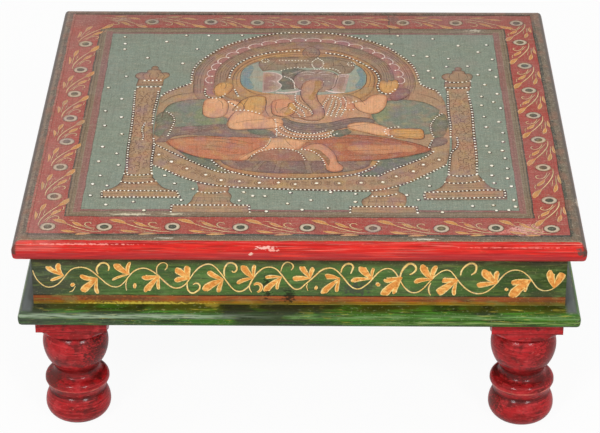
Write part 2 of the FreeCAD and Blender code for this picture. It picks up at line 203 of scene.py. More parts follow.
# Bead rows: spacing in squares and lines. Beads are as wide as the panel says at the usual spacing
USUAL_SPACING = 10.2
BEAD_ROWS = (
    (10.6, "308,560 322,540 340,520 361,503 381,486"),
    (11.2, "384,474 383,430 393,368 426,303 474,240 538,193 611,162 690,153 769,162 842,193 906,240"
           " 950,300 982,366 995,430 999,470"),
    (10.8, "1002,484 1020,507 1040,523 1051,549"),
    (11.6, "485,449 489,410 504,366 525,334 553,309 605,286 672,274; 747,289 784,301 826,334 856,369"
           " 884,418 890,462 885,508 893,534 912,545 925,530 932,518"),
    (8.6, "619,338 650,339 697,341"),
    (9.4, "625,403 645,390 666,383 689,382"),
    (9.0, "740,387 761,390 777,401 784,414"),
    (7.6, "724,323 712,340 708,357 712,378 722,397 734,380 740,357 736,340 725,325"),
    (7.4, "634,442 648,452 657,470 661,490 663,515"),
    (10.6, "423,520 423,547 430,564 442,574 457,575 468,568 477,550"),
    (11.0, "502,523 507,543 512,561; 488,597 500,610 512,628"),
    (10.6, "510,647 530,646 550,652 571,664"),
    (10.0, "808,602 826,590"),
    (8.0, "666,548 664,572 668,595 678,612 692,628 704,645 710,665; 660,606 668,626 680,642 688,660"
          " 690,680; 755,559 770,562 783,577 786,600 784,625 776,655 772,680"),
    (7.6, "752,578 743,600 738,628; 764,576 760,604 754,640 748,672; 773,590 772,612 765,645 759,676;"
          " 792,568 799,590 799,620 792,652 785,678; 652,632 662,648 672,664 678,682"),
    (9.0, "788,640 804,642 818,640"),
    (8.8, "327,655 340,672 348,693 350,715 346,745 338,794; 1050,663 1035,682 1026,704 1018,730 1019,770"
          " 1023,795; 1018,818 1014,836 1009,855; 604,806 600,830 590,856 575,880 557,906; 584,878"
          " 598,870 612,866 629,864 650,867 668,877 682,895 692,926"),
    (8.6, "684,868 705,874 723,893 736,920 743,952"),
    (10.2, "457,931 475,962 501,987 555,1012 612,1026 695,1028 778,1016 825,1000 855,975 870,955 878,934"),
    (9.6, "309,844 345,880 391,923 440,965 488,996 512,996; 828,1011 878,1011! 915,976 961,939 1000,905"
          " 1019,878"),
    (10.4, "308,956 345,985 372,1010 418,1042 452,1058 512,1072 600,1080 723,1087 800,1090 855,1089"
           " 900,1076 944,1050 1000,1000 1049,950"),
    (10.2, "298,536 298,580 294,640 294,724"),
    (8.8, "274,724 269,760 275,800 274,816"),
    (10.2, "302,812 305,840 305,960 309,1000; 235,532 240,680 242,920 247,998"),
    (11.0, "257,468 300,466"),
    (11.4, "241,509 301,506"),
    (10.6, "240,1004 250,1010 290,1010 310,1004"),
    (11.0, "236,1046 248,1052 288,1052 322,1042"),
    (9.8, "198,1094 376,1094! 386,1126! 194,1127! 192,1100"),
    (9.4, "429,1096 450,1104 472,1104 495,1097"),
    (10.0, "368,1200 368,1166! 557,1166! 560,1200"),
    (9.4, "860,1118 880,1119 900,1114 918,1106"),
    (10.4, "804,1200 805,1171! 966,1170! 968,1200"),
    (11.0, "1070,466 1080,472 1110,472 1136,464"),
    (11.4, "1068,504 1080,508 1112,508 1134,503"),
    (10.4, "1072,532 1070,584 1068,680 1070,728 1067,794"),
    (9.8, "1083,800 1084,832 1078,860 1066,880 1058,940 1052,1000"),
    (11.4, "1125,532 1130,640 1128,760 1127,920 1124,998"),
    (10.4, "1054,1004 1070,1010 1096,1010 1122,1002; 1042,1042 1056,1048 1080,1048 1110,1042 1137,1032;"
           " 990,1096 1064,1091 1116,1085 1186,1083! 1187,1110 1184,1122! 1116,1124 990,1131! 987,1112"
           " 990,1098"),
    (8.0, "613,700 616,730 618,760 618,794"),
    (8.6, "626,742 642,768 665,787 695,797 725,795 750,780 764,764; 640,742 656,762 680,777 702,781"
          " 725,776 745,760"),
    (8.4, "615,756 632,786 660,805 694,812 728,810 756,797 774,780"),
    (8.6, "760,770 758,784 752,800"),
    (9.6, "934,740 912,746 900,756 898,770 904,784 916,793"),
)

# The dark line under a row of beads: its most in millimetres, and its share of the spacing in squares
ROW_LINE = (2.8, 0.27)

# A bead's size against that of its row, at the least and at the most, and how uneven the beads are
ROW_SIZES = (0.86, 1.3)
UNEVENNESS = 0.12

# How much a step up the sheet counts for, where beads are spaced along a line
CLIMB = 0.75

# Beads on their own: in two rings behind the head, on the eyes, and scattered on the ground. Those of the
# rings and the scallops are a share of a bead in a row, and those on the eyes have their own radius
RING_BEAD = 0.85
SCALLOP_BEAD = 0.8
EYE_BEAD = 0.6
BEAD_RINGS = "580,341 816,360"
EYE_LIGHTS = "682,464 698,464 740,472 754,470"
DOTS = (
    "183,187 187,232 188,268 255,323 302,217 355,175 418,176 443,204 389,265 354,358 205,442 162,512"
    " 203,580 165,652 210,688 170,737 218,785 174,857 213,894 171,937 222,957 181,1014 166,1059 202,1067"
    " 165,1118 207,1165 273,1150 302,1193 390,1140 416,1082 342,1012 369,1054 542,1098 595,1118 657,1100"
    " 757,1097 708,1138 651,1156 687,1187 750,1178 600,1196 532,1142 818,1105 817,1146 862,177 948,173"
    " 929,227 1045,193 1114,237 1193,232 987,303 1025,308 1083,322 1167,279 1203,326 1075,373 1025,400"
    " 1036,443 1133,370 1193,393 1158,423 1207,437 1173,485 1160,558 1203,541 1190,590 1157,610 1207,627"
    " 1160,677 1197,707 1162,737 1203,770 1157,845 1200,820 1195,870 1162,880 1199,912 1163,953 1201,967"
    " 1160,1005 1198,1020 1163,1045 1205,1062 998,1020 1002,1062 944,1110 972,1134 1028,1197 1103,1165"
    " 1154,1160 1208,1167 1160,1187 1206,1133 565,1117 511,173 1190,1185"
)

# Dark drawing lines of the picture: coat, width in millimetres before the pen's share, lines
PEN_WIDTH = 0.85
LINES = (
    # Rings of the arch
    (3, 0.8, "392,540 390,470 396,400 422,325 468,260 536,206 612,174 690,164 768,174 844,206 905,258"
             " 952,325 978,400 987,470 980,540"),
    (3, 0.6, "402,540 400,470 407,402 433,330 476,268 540,216 614,184 690,175 766,184 838,216 898,268"
             " 942,330 966,402 974,470 968,540; 410,540 408,470 414,404 438,335 480,274 542,223 615,192"
             " 690,183 765,192 837,223 896,274 937,335 960,404 968,470 960,540"),
    (5, 0.6, "445,480 448,410 470,346 506,298 560,252 620,226 690,217 760,226 820,252 874,298 908,346"
             " 927,410 931,480"),
    (5, 0.5, "452,480 455,410 477,348 512,300 564,256 623,230 690,223 757,230 816,256 868,300 902,348"
             " 920,410 924,480"),
    (5, 0.6, "460,480 463,408 485,350 518,304 568,262 626,237 690,230 754,237 812,262 862,304 896,350"
             " 913,410 917,480"),
    (5, 0.5, "467,470 470,408 492,350 524,308 572,268 628,243 690,236 752,243 808,268 857,308 890,350"
             " 907,410 911,470; 473,470 477,406 499,350 530,312 577,274 631,250 690,243 749,250 803,274"
             " 851,312 883,350 900,408 904,470"),
    (6, 0.7, "478,460 488,400 513,347 549,311 600,280 650,264 690,260 740,266 790,286 838,323 872,368"
             " 893,420 897,470 890,530"),
    (7, 0.7, "500,520 494,470 502,412 528,358 567,320 620,294 684,286 748,294 804,320 846,362 872,414"
             " 878,470 868,530"),
    (7, 0.6, "508,500 504,460 512,408 536,364 575,330 628,306 684,300 742,306 796,330 838,368 862,414"
             " 866,462 858,512"),
    (9, 0.8, "514,450 520,400 545,360 590,335 684,322 780,335 830,368 852,410 856,450 848,500 822,540"
             " 800,556"),
    (9, 0.7, "514,450 520,494 546,538 580,560"),
    (9, 0.6, "706,246 722,262 730,290 722,318 706,332 690,318 682,290 690,262 706,246"),
    (9, 0.5, "706,258 716,272 720,290 714,308 706,318 697,308 692,290 696,272 706,258; 706,272 711,290"
             " 706,304 701,290 706,272"),
    # Cushions and the back of the throne
    (4, 0.8, "310,604 340,562 392,540"),
    (4, 0.7, "316,690 322,640 340,606 372,588 420,580; 915,584 960,580 1010,598 1046,640"),
    (4, 0.6, "986,540 1030,566 1056,600"),
    (5, 0.6, "352,798 420,770 486,745; 345,770 420,752 486,730"),
    (5, 0.5, "340,786 420,762 486,738"),
    # Robe
    (7, 0.8, "336,824 372,806 420,798 500,800 598,806; 336,824 356,862 392,896 440,920 500,932 540,930"),
    (8, 0.6, "372,812 430,806 500,816 560,840; 400,826 470,826 540,850"),
    (8, 0.5, "380,846 450,850 520,870; 400,868 460,874 520,890; 470,904 520,900 548,890"),
    (7, 0.8, "730,806 800,786 860,792 930,812 1000,850 1014,866 980,892 930,912 860,928 800,934"),
    (8, 0.6, "780,802 860,802 930,822 990,856; 740,816 790,806 850,812 910,830"),
    (8, 0.5, "760,836 820,826 890,838; 800,902 870,898 940,884; 784,876 850,874 920,866"),
    (9, 0.7, "545,926 560,900 592,858 602,830 604,806"),
    (9, 0.6, "526,924 556,884 584,850"),
    (9, 0.7, "686,866 700,846 728,836 752,860 770,900 776,940 790,972 770,992 748,984 744,955"),
    (9, 0.5, "640,812 650,838 664,862; 660,812 690,826 712,838"),
    # Lotus seat
    (6, 0.7, "478,932 490,952 520,976 580,994 660,1000 740,998 812,984 850,962 862,932; 462,932 480,962"
             " 506,986 556,1010 612,1022; 360,862 400,900 462,940"),
    (6, 0.6, "590,934 570,990; 622,934 614,994; 634,934 628,996; 690,934 698,998; 704,934 712,998;"
             " 516,936 532,976; 580,936 558,984; 794,940 816,966; 806,938 830,960"),
    # Hands and arms
    (9, 0.8, "500,650 512,612 532,576 560,560 584,566; 584,566 588,600 586,640 596,680"),
    (9, 0.6, "540,574 530,612 528,644"),
    (9, 0.8, "490,736 492,700 506,658; 488,734 500,756 556,756 600,752 628,744"),
    (9, 0.6, "504,724 540,708 580,700 606,694"),
    (9, 0.8, "604,592 602,640 612,676 636,684 660,668 668,636 664,596"),
    (9, 0.7, "664,596 650,604 646,622 634,634 626,650"),
    (9, 0.5, "616,596 612,630 620,664"),
    (9, 0.7, "602,690 612,676 640,690 668,692; 606,694 616,716 636,724"),
    (8, 0.7, "458,486 447,510 450,552; 497,505 492,530 484,548"),
    (8, 0.6, "474,480 478,500 474,520"),
    (8, 0.5, "466,484 464,510; 484,484 486,506"),
    (8, 0.7, "422,600 421,650 430,684 458,692 482,676"),
    (8, 0.6, "474,580 486,604 488,640 482,676; 474,640 470,600 460,586"),
    (7, 0.7, "508,680 530,640 522,604 500,586"),
    (9, 0.7, "892,470 900,462 912,470 914,458 924,466 932,458 942,476 936,520; 892,470 890,516 900,540"),
    (9, 0.5, "912,470 908,506; 924,468 920,506"),
    (8, 0.7, "820,596 846,588 864,560 886,548; 908,560 908,590 896,640 874,664 846,658 824,628 820,596;"
             " 924,584 944,580 966,552 968,520 950,506"),
    (8, 0.6, "788,545 800,580 796,620 806,650"),
    (9, 0.7, "804,728 838,712 876,724 912,752; 806,750 846,772 890,792 918,790 968,808 994,808 999,778"
             " 992,752 950,750"),
    (9, 0.6, "930,766 992,766; 926,780 998,780; 930,794 992,796"),
    # Sash
    (8, 0.8, "636,690 662,712 704,724 756,716 806,692 850,688 874,706"),
    (8, 0.6, "640,704 664,726 704,738 756,730 806,708 846,702; 642,722 668,742 706,752 752,744 800,722"
             " 850,714; 644,738 672,756 708,764 750,756 790,738"),
    (8, 0.8, "636,740 654,768 700,778 756,766 812,738 862,722"),
    # Crown
    (9, 0.8, "562,366 566,346 584,328 620,318 700,316 760,318 808,330 822,352 824,384"),
    (9, 0.6, "576,372 640,362 700,358 706,366; 742,366 790,372 816,386"),
    (9, 0.5, "582,400 590,374 604,352 612,330; 640,392 634,372 640,350; 668,384 664,366 670,350; 760,388"
             " 768,366 762,340; 796,420 798,390 786,360 776,336"),
    # Head and trunk
    (10, 0.8, "686,404 662,440 668,506 678,520; 752,404 776,430 774,470 768,506 748,530"),
    (10, 0.6, "692,416 706,410 716,420 728,412 746,416; 670,448 686,442 700,448; 734,452 748,446 762,452"),
    (10, 0.5, "676,456 686,462 700,462 706,470; 736,462 748,468 760,462"),
    (11, 0.8, "684,486 678,540 686,588 700,620 712,660 706,680 688,684 668,672; 740,482 736,510 726,530"
              " 722,556 726,590 736,620 742,660 738,690 722,706 696,704 674,690 660,690 652,680"),
    (12, 0.4, "684,540 700,538; 686,560 704,556; 692,584 712,578; 700,606 722,600; 708,630 732,624;"
              " 712,654 736,652"),
    # Belt and necklaces
    (9, 0.6, "620,796 690,806 760,800"),
    (9, 0.5, "624,752 640,776 664,796; 748,792 762,778 768,762"),
    (9, 0.6, "790,545 828,566 850,612; 640,548 650,576"),
    (9, 0.5, "676,560 676,584 688,606 702,622; 672,604 684,624 696,644 700,668; 748,560 740,590 732,610;"
             " 758,566 750,600 744,640; 772,576 768,612 760,650 756,676; 778,590 776,620 768,656"),
    # Pillars
    (4, 0.7, "240,506 236,540 240,700 243,920 240,1004! 238,1024! 236,1046! 229,1064 215,1082 193,1094!"
             " 190,1130!; 304,506 300,600 295,720 300,810 306,960 311,1004! 313,1024! 322,1042! 332,1062"
             " 348,1082 378,1094! 390,1130!; 1068,504 1070,584 1068,680 1070,800 1066,880 1058,940"
             " 1052,1004! 1046,1022! 1042,1044! 1032,1066 1015,1084 988,1096! 986,1134!; 1134,504"
             " 1127,540 1131,640 1128,760 1127,920 1124,996! 1132,1020! 1138,1034! 1146,1056 1160,1074"
             " 1190,1083! 1190,1130!; 236,500 240,460! 230,442 233,426 246,417 258,418 262,404 274,397"
             " 288,398 297,406 300,418 314,418 322,430 320,444 308,460! 307,500; 1064,500 1068,460!"
             " 1060,442 1063,428 1076,417 1087,417 1090,404 1100,397 1114,398 1123,406 1125,417 1136,418"
             " 1143,430 1142,444 1136,460! 1136,500"),
    (5, 0.6, "272,396 271,386 280,377 289,386 288,396; 1099,396 1098,386 1107,377 1116,386 1114,396"),
    (4, 0.6, "258,418 250,438 254,456; 272,418 268,438 272,456; 288,418 292,438 288,456; 300,418 308,438"
             " 304,456"),
    (4, 0.7, "240,458 308,458; 237,482 308,480; 236,494 308,492"),
    (4, 0.6, "1086,416 1080,440 1084,456; 1106,414 1106,456; 1124,418 1130,440 1124,456"),
    (4, 0.7, "1066,458 1136,458; 1064,482 1136,482; 1064,494 1136,494; 238,1024 313,1024"),
    (4, 0.6, "238,1034 316,1034"),
    (4, 0.7, "228,1064 332,1062"),
    (4, 0.6, "220,1076 342,1074"),
    (4, 0.7, "196,1110 382,1110; 188,1132 390,1132; 1046,1022 1132,1020"),
    (4, 0.6, "1044,1032 1136,1028"),
    (4, 0.7, "1034,1062 1146,1056"),
    (4, 0.6, "1026,1074 1156,1068"),
    (4, 0.7, "990,1114 1186,1104; 984,1137 1192,1134"),
    # Feet of the throne
    (3, 0.7, "430,1080 430,1098! 420,1120 414,1148 405,1164; 507,1072 503,1098! 512,1116 512,1150"
             " 530,1164"),
    (3, 0.6, "424,1088 504,1088; 424,1114 510,1114; 418,1128 512,1128; 414,1144 512,1146"),
    (3, 0.5, "430,1130 424,1162; 448,1130 444,1162; 466,1130 466,1162; 484,1130 488,1162; 500,1130"
             " 508,1162"),
    (3, 0.6, "372,1182 556,1182"),
    (3, 0.7, "858,1102 850,1118 834,1138 836,1168; 925,1092 940,1112 942,1140 938,1168"),
    (3, 0.6, "858,1094 924,1086; 840,1132 940,1126; 834,1146 942,1142"),
    (3, 0.5, "852,1134 846,1166; 870,1134 866,1166; 888,1134 888,1166; 906,1132 910,1166; 924,1130"
             " 930,1166"),
    (3, 0.6, "808,1186 964,1186"),
)

# Scallops along the inside of the arch: how many, the turn of each and of the first in degrees, and
# their reach from the arch's centre in squares
ARCH_CENTRE = (690, 460)
SCALLOPS = 20
SCALLOP_TURN = 9.5
SCALLOP_START = -5
SCALLOP_REACH = 250

# The bow of each scallop: its points, the turn from one to the next in degrees, its half width and its rise
BOW_POINTS = 7
BOW_TURN = 36
BOW_SIZE = (21, 15)

# How wide the bows, rounds, seat lines and scrolls are drawn, in millimetres
BOW_WIDTH = 0.9
ROUND_WIDTH = 0.6
SEAT_WIDTH = 0.55
SCROLL_WIDTH = 0.62

# Rosettes along the seat of the throne, the radii of their two rounds, and the bowed lines between them:
# how far they lie off the middle line, how far they stop short of a rosette, and how far they bow
ROSETTES = (
    "321,900 355,938 396,975 445,1008 484,1036 530,1042 580,1049 627,1048 669,1056 722,1050 778,1050"
    " 833,1047 887,1043 921,1013 965,985 991,949 1032,922"
)
ROUND_RADII = (12.5, 7.5)
SEAT_LINES = (-13, -5, 5, 13)
SEAT_GAP = 17
SEAT_BOW = 0.35

# The left, right and first row of each pillar's shaft. The scrolls lie in three columns, one to a row, with
# the rows this far apart
PILLAR_SHAFTS = ((244, 298, 542), (1078, 1124, 542))
SCROLLS = 89
SCROLL_ROW = 5.0
SCROLL_COLUMNS = 3
PILLAR_SCROLL = ("-6,5 -5,-4 1,-7 6,-3 4,3 0,2", "-5,-6 2,-5 5,1 1,6 -5,5", "-4,7 3,4 -3,-1 4,-5")

# Eyes of the border flowers along the front, right, rear and left. The rear left corner has none. Each is
# three rounds of paint, with their radius in millimetres and their coat, and a little out of round
NO_EYE = (110, 80)
EYE_ROUNDS = ((6.9, 3), (6.1, 5), (3.4, 7))
EYE_WOBBLE = 0.04
EYES = (
    "76,1277 212,1277 376,1275 540,1277 700,1277 858,1279 1022,1279 1153,1275 1287,1278",
    "1287,1278 1293,1135 1292,963 1292,810 1290,670 1290,520 1290,367 1288,215 1287,85",
    "1287,85 1115,85 965,85 810,86 685,85 552,88 420,84 253,84 110,80",
    "110,80 77,235 78,402 75,552 77,697 80,830 77,970 77,1125 76,1277",
)

# One spray between two eyes, in millimetres from the first: kind, widest millimetres, line.
# The spray is drawn for eyes that are 54.4 mm apart
SPRAY_PITCH = 54.4
SPRAY = (
    ("stem", 1.0, "16,6 24,1 33,-3.6 43,-7 52.4,-7.9"),
    ("leaf", 5.4, "3.6,12.2 8,10.8 12.4,8.8 17.4,5"),
    ("leaf", 4.2, "23,7.6 26.4,5.8 29.6,3.2 34.6,0.8"),
    ("stem", 0.7, "34,1 39,-1.6 45.3,-4.8"),
    ("stem", 0.8, "46,-2.4 40.2,-0.6 36,2.6 35.4,5.2 37.4,7.4 40.4,7 41.4,5.2"),
    ("leaf", 3.8, "13.2,-5.4 17,-6.6 21.6,-7.6 27,-8.4"),
    ("stem", 0.6, "26,-8.2 33,-8.6 41,-9.2"),
    ("leaf", 2.6, "27.6,-12.4 31.6,-11.6 36,-11.2 42.5,-11.4"),
    ("stem", 0.6, "18.4,9.6 22.4,9.8 25.4,8.6"),
    ("stem", 0.5, "24,-4.4 28.6,-5.2 33.4,-5.8"),
)

# The vine on the aprons is drawn on a squared sheet too, over the front apron. The squares are oblong,
# their size is in millimetres, and the sheet's middle and foot are counted in squares
VINE_SQUARE = (0.8028, 0.931)
VINE_ZERO = (299.2, 304.9)
VINE_STEM = (
    "33,271.5 35.4,278.2 39.9,284 45.3,287.6 50.6,287.9 56.9,285.4 62.3,280.4 66.8,275 72.2,270.1"
    " 78.5,268.3 83.8,268.3 90.1,270.6 96.4,275.5 101.8,280.4 107.2,284.9 112.6,287.4 117.9,287.2"
    " 123.3,283.6 128.7,277.3 134.1,271.9 140.4,269.2 145.8,268.9 151.2,271 156.5,274.6 162.8,280.4"
    " 169.1,286 174,288.3 179.4,288.1 183.8,285.8 187.4,282.2 191,277.3 195.5,271.5 200.9,267 206.3,264.7"
    " 209.9,264.5 214.4,266.5 218.8,271 223.3,276.8 227.8,283.1 232.3,288.5 236.8,291.4 241.3,291.4"
    " 245.8,289 249.4,285.4 252.5,279.5 255.6,275.1 260.1,270.6 264.6,267.9 270.9,267.2 276.3,269.2"
    " 280.8,273.7 285.3,279.5 290.6,285.8 295.1,289 299.6,288.7 305.4,284 310.8,279.5 316.2,274.6"
    " 321.5,270.1 326.9,268.1 332.3,268.1 336.8,270.6 341.3,275.1 345.8,280.4 350.3,285.4 354.7,288.1"
    " 360.1,288.3 364.6,285.8 370,281.3 374.5,276 379,271.5 383.5,268.8 389.7,268.3 394.2,271 397.8,276"
    " 401.4,282.2 405.9,288.1 411.3,291.7 416.7,291.9 422.1,289 427.4,283.6 432.8,277.7 436.4,274.2"
    " 444.9,269.5 449.4,270.1 453.8,274.2 458.3,280 462.8,284.9 468.2,289.4 474.5,292.3 480.8,292.8"
    " 486.2,291.2 491.5,287.6 496.9,282.2 501.4,276.4 506.8,271.5 513.1,269.2 519.4,269.7 524.7,272.4"
    " 529.2,276.4 533.7,282.2 538.2,287.2 543.6,289.4 549,289.2 554.4,286.7 560.6,280.9 564.2,275.1"
)

# Sprigs of the vine: where their leaves meet, then each leaf's width, tip and middle
VINE_SPRIGS = (
    ("63.6,276.8", "4 48.4,267.4 51.5,270.6; 4 60.5,264.7 58.7,269.7; 2.5 50.2,281.5 56.9,279.1"),
    ("97.3,279.1", "4 80.3,276 87.4,279.1; 5.5 81.6,292.5 86.5,287.6; 3 97.8,294.3 95.6,289"),
    ("129.6,275", "5.5 116.6,264.3 119.7,268.8; 3 131,262.5 127.8,269.7; 2 112.1,280.9 119.7,277.3"),
    ("159.2,276.4", "4.5 143.5,276.4 147.6,278.2; 5 146.7,291.7 148.5,287.6; 2.7 158.8,289.9 157.9,284.9"),
    ("188.8,279.5", "5.5 175.3,270.1 180.7,272.8; 5 188.3,266.5 187.4,271.5; 4.5 175.3,282.2 180.3,279.5"),
    ("223.3,279.5", "4.5 208.5,271.5 213.4,275.5; 6 204,291.2 209.9,285.8; 3.5 218.8,292.5 219.3,287.6"),
    ("253.4,278.2", "5.5 244,265.6 245.8,270.6; 3 255.2,265.2 253.8,269.7; 3.5 237.2,284 243.1,280.4"),
    ("281.7,276.8", "3 265.5,277.9 270.9,276.8; 5 266,291.2 269.1,286.7; 2.5 277.6,289.4 277.6,284.5"),
    ("310.3,278.2", "4.5 301.8,266.5 303.6,269.7; 3.5 313.9,267.9 311.7,271; 4.5 292.9,279.1 299,278.2"),
    ("339.9,278.2", "4.5 325.6,276.4 329.6,276.4; 5 323.8,293.5 326.9,288.5; 3 337.2,291.7 337.2,286.7"),
    ("371.8,278.6", "6 361.9,266.5 363.7,270.6; 2.6 374,267.9 372.2,271.5; 4 352.5,281.8 357.4,279.1"),
    ("401.9,276.8", "4.5 386.2,279.1 388.8,279.5; 6.5 383.9,294.8 388,289.4; 3.5 395.1,293 395.6,288.5"),
    ("431.9,279.1", "6 424.3,264.7 424.3,269.7; 4 436.4,265.2 432.8,271.5; 4 415.3,282.7 420.3,279.5"),
    ("457.4,278.6", "4.5 442.2,279.5 446.7,279.5; 6.5 438.1,292.5 443.1,289; 3.2 455.6,294.3 454.3,289.4"),
    ("496.9,282.2", "7 486.2,269.2 487.1,274.2; 4 498.3,271 496,274.6; 4.5 477.2,284.9 483.5,283.6"),
    ("530.6,279.1", "5 511.3,282.2 518.5,280.9; 7.5 512.6,296.6 517.6,289; 2.5 526.1,290.8 526.1,286.3"),
    ("554.4,286.7", "6 551.7,270.6 550.3,275.1; 6 562.4,271.9 559.7,276.8"),
)

# Buds and curls of the vine: width and line. The widths of curls and leaves are multiplied by these
CURL_WIDTH = 0.86
LEAF_WIDTH = 1.12
VINE_CURLS = (
    (4.2, "74,284.4 72.2,285.6 70.4,286.8"),
    (0.9, "74.9,287 71.7,291.7 68.6,292.8"),
    (1.8, "98.2,275 96.9,270.6 99.1,266.1 103.6,263.6 107.6,264.7 109.4,267.9 108.5,271.5"),
    (3.4, "134.9,283.8 134.5,286.3 134.1,288.8"),
    (0.9, "127.4,279.5 125.6,284.9 126,291.2"),
    (1.0, "157,274.2 157,268.8 159.2,265.2 163.7,263.2 167.3,264.7 167.3,267.9 165.1,270.6"),
    (1.6, "187.4,281.3 187,286.7 188.3,291.2 191.9,293.5 196.4,291.7 199.6,288.1 198.7,284.5 196,283.6"
          " 192.8,284.9"),
    (1.6, "224.7,276.8 224.2,271.5 226,266.1 229.6,263.2 234.1,263.8 236.8,267 236.3,271 233.7,272.4"
          " 231.9,271"),
    (1.0, "250.7,281.3 249.4,285.8 249.8,289.4 251.6,292.5"),
    (3.2, "253.8,284.9 257.4,283.6 261,285.8 260.6,289.9 257.4,292.5"),
    (1.1, "280.8,271.5 282.6,266.1 286.2,262.5 290.6,262.9 293.3,266.1 292.4,268.8 291.1,270.1"),
    (0.9, "307.6,283.6 306.7,286.7 308.1,290.8"),
    (3.3, "317,285.8 316.2,287.6 315.4,289.4"),
    (1.7, "340.8,272.4 342.2,267.9 344.9,264.7 349.4,263.4 353,266.1 352.5,268.8 350.7,273.3"),
    (5.2, "379.4,282.8 378.1,284 376.8,285.2"),
    (2.0, "399.6,277.7 401.4,271.5 405,266.1 409.5,263.2 413.5,264.3 415.8,267.9 413.5,271.9 409.5,274.2"),
    (1.2, "431,282.2 429.2,285.8 429.2,291.2 431,294.8"),
    (1.8, "460.1,274.6 461.9,268.8 466.4,264.3 470.9,262.5 474.9,264.3 475.8,267.9 474.5,271.5"
          " 470.9,274.2"),
    (3.6, "507.6,287.2 506.8,288.5 506,289.8"),
)

# Pale lines over the dark ones: width in millimetres and lines
HIGHLIGHTS = (
    (3.4, "680,526 662,537 640,542 612,539"), (3.0, "745,526 766,537 796,539"),
    (1.0, "577,415 600,416 618,426 627,440 622,460 616,474 626,494 622,514 606,534 577,541"),
    (0.8, "811,428 792,427 774,438"), (0.7, "634,440 650,454 659,472 663,516"),
    (0.5, "640,432 650,424; 646,428 656,420; 652,424 662,416; 658,420 668,412; 664,414 674,406"),
    (0.5, "670,410 680,402; 640,440 632,436; 652,446 642,440; 692,414 700,408; 712,414 720,410"),
    (0.5, "732,412 742,414"), (0.6, "655,690 675,703 700,712 726,712"),
    (0.9, "672,422 688,413 708,414 716,420; 726,420 736,413 754,413 768,422"),
    (0.7, "684,432 698,427 712,431; 730,431 744,427 758,432"),
    (1.2, "588,432 606,432"), (0.7, "590,470 604,470 610,480"), (1.2, "784,440 800,438"),
)

# Paints of the picture: colour, and the colour of the shade along its edge
PICTURE_PAINTS = {
    "dome": ("#ad8a6c", "#8a6650"),
    "burgundy": ("#a98372", "#866152"),
    "umber": ("#a4826a", "#876654"),
    "lotus_dark": ("#85675f", "#6d4c45"),
    "robe_light": ("#cf8a60", "#c17a58"),
    "plum": ("#ad756d", "#8f5852"),
    "gold": ("#b8865a", "#8f5f3e"),
    "gold_light": ("#c4925e", "#9a6a44"),
    "disc_green": ("#a4aa98", "#8a988a"),
    "disc_blue": ("#7a8f98", "#7a948c"),
    "bolster": ("#7f8675", "#666b52"),
    "bolster_light": ("#868c68", "#7c8468"),
    "bolster_dark": ("#75755f", "#5f5b49"),
    "teal_deep": ("#6f7464", "#5a5d4e"),
    "sash": ("#897269", "#6f564f"),
    "lotus": ("#8e7167", "#735348"),
    "seat_red": ("#a3705b", "#80503f"),
    "robe": ("#c97c58", "#a3583c"),
    "robe_right": ("#b56a4a", "#93492f"),
    "skin": ("#f0b284", "#c68056"),
    "skin_yellow": ("#e0a662", "#b67640"),
    "skin_rose": ("#e09a74", "#b87054"),
    "skin_dim": ("#cf9a76", "#a87254"),
    "purple": ("#8f6061", "#774a48"),
    "crown": ("#9a8068", "#7c6350"),
    "hair": ("#6a675c", "#55504a"),
    "face": ("#a38679", "#83665c"),
    "ear": ("#b4948a", "#c6a59a"),
    "ear_rose": ("#a17a72", "#a88578"),
    "trunk": ("#cb9878", "#a06c58"),
    "trunk_gold": ("#c29259", "#b07e50"),
}

# Marks of wear: centre, reach and colour. On the top, on its edge, and on the front apron. Two long pale
# streaks along the nose, on the edge, are painted highlights. A mark on the top or its edge has no limit
# across that face
FAR = 99.0
TOP_MARKS = (
    ((181.0, -201.0, 183.4), (17.0, 11.0, FAR), "#efb4a8"),
    ((160.0, -203.0, 183.4), (12.0, 5.0, FAR), "#e58d80"),
    ((-136.0, -177.4, 183.4), (19.0, 2.2, FAR), "#e9dfc0"),
    ((-101.0, -177.0, 183.4), (12.0, 1.8, FAR), "#ddd3b4"),
    ((-51.8, -118.8, 183.4), (6.0, 4.0, FAR), "#d8b83c"),
    ((-172.7, 204.3, 183.4), (9.0, 4.0, FAR), "#cfc4ae"),
    ((161.5, 181.8, 183.4), (9.0, 4.0, FAR), "#cfc4ae"),
    ((85.0, 206.0, 183.4), (10.0, 13.0, FAR), "#7d564c"),
    ((81.5, 196.0, 183.4), (1.0, 30.0, FAR), "#2e241c"),
)
EDGE_MARKS = (
    ((-27.0, -226.0, 180.8), (10.0, FAR, 1.2), "#f2bcae"),
    ((-21.0, -226.0, 179.0), (6.0, FAR, 1.0), "#f0a898"),
    ((-107.0, -217.0, 184.0), (9.0, 1.6, FAR), "#e4dcc6"),
    ((FAR, -217.5, 184.0), (12.0, 1.8, FAR), "#e4dcc6"),
    ((-38.0, -226.0, 176.0), (3.0, FAR, 1.6), "#e8c0ae"),
    # Long thin pale streaks along the nose, left and right: painted highlights
    ((-175.0, -226.0, 182.4), (52.0, FAR, 0.45), "#ec9488"),
    ((172.0, -226.0, 181.4), (48.0, FAR, 0.4), "#e67c72"),
    ((223.0, -226.0, 178.0), (5.0, FAR, 4.0), "#4c443c"),
    ((224.0, -150.0, 180.0), (FAR, 8.0, 3.0), "#c9b7a0"),
)
APRON_MARKS = (
    ((44.8, -214.5, 136.5), (16.0, 4.0, 8.0), "#44483c"),
    ((-26.0, -214.5, 137.0), (5.0, 4.0, 13.0), "#1c1f12"),
    ((-8.0, -214.5, 129.5), (6.0, 4.0, 8.0), "#1f2012"),
    ((-196.0, -214.5, 152.0), (9.0, 4.0, 5.0), "#43464a"),
    ((-126.0, -214.5, 122.0), (60.0, 4.0, 1.6), "#d6c24a"),
    ((-150.0, -214.5, 127.0), (40.0, 4.0, 3.0), "#6a4228"),
)

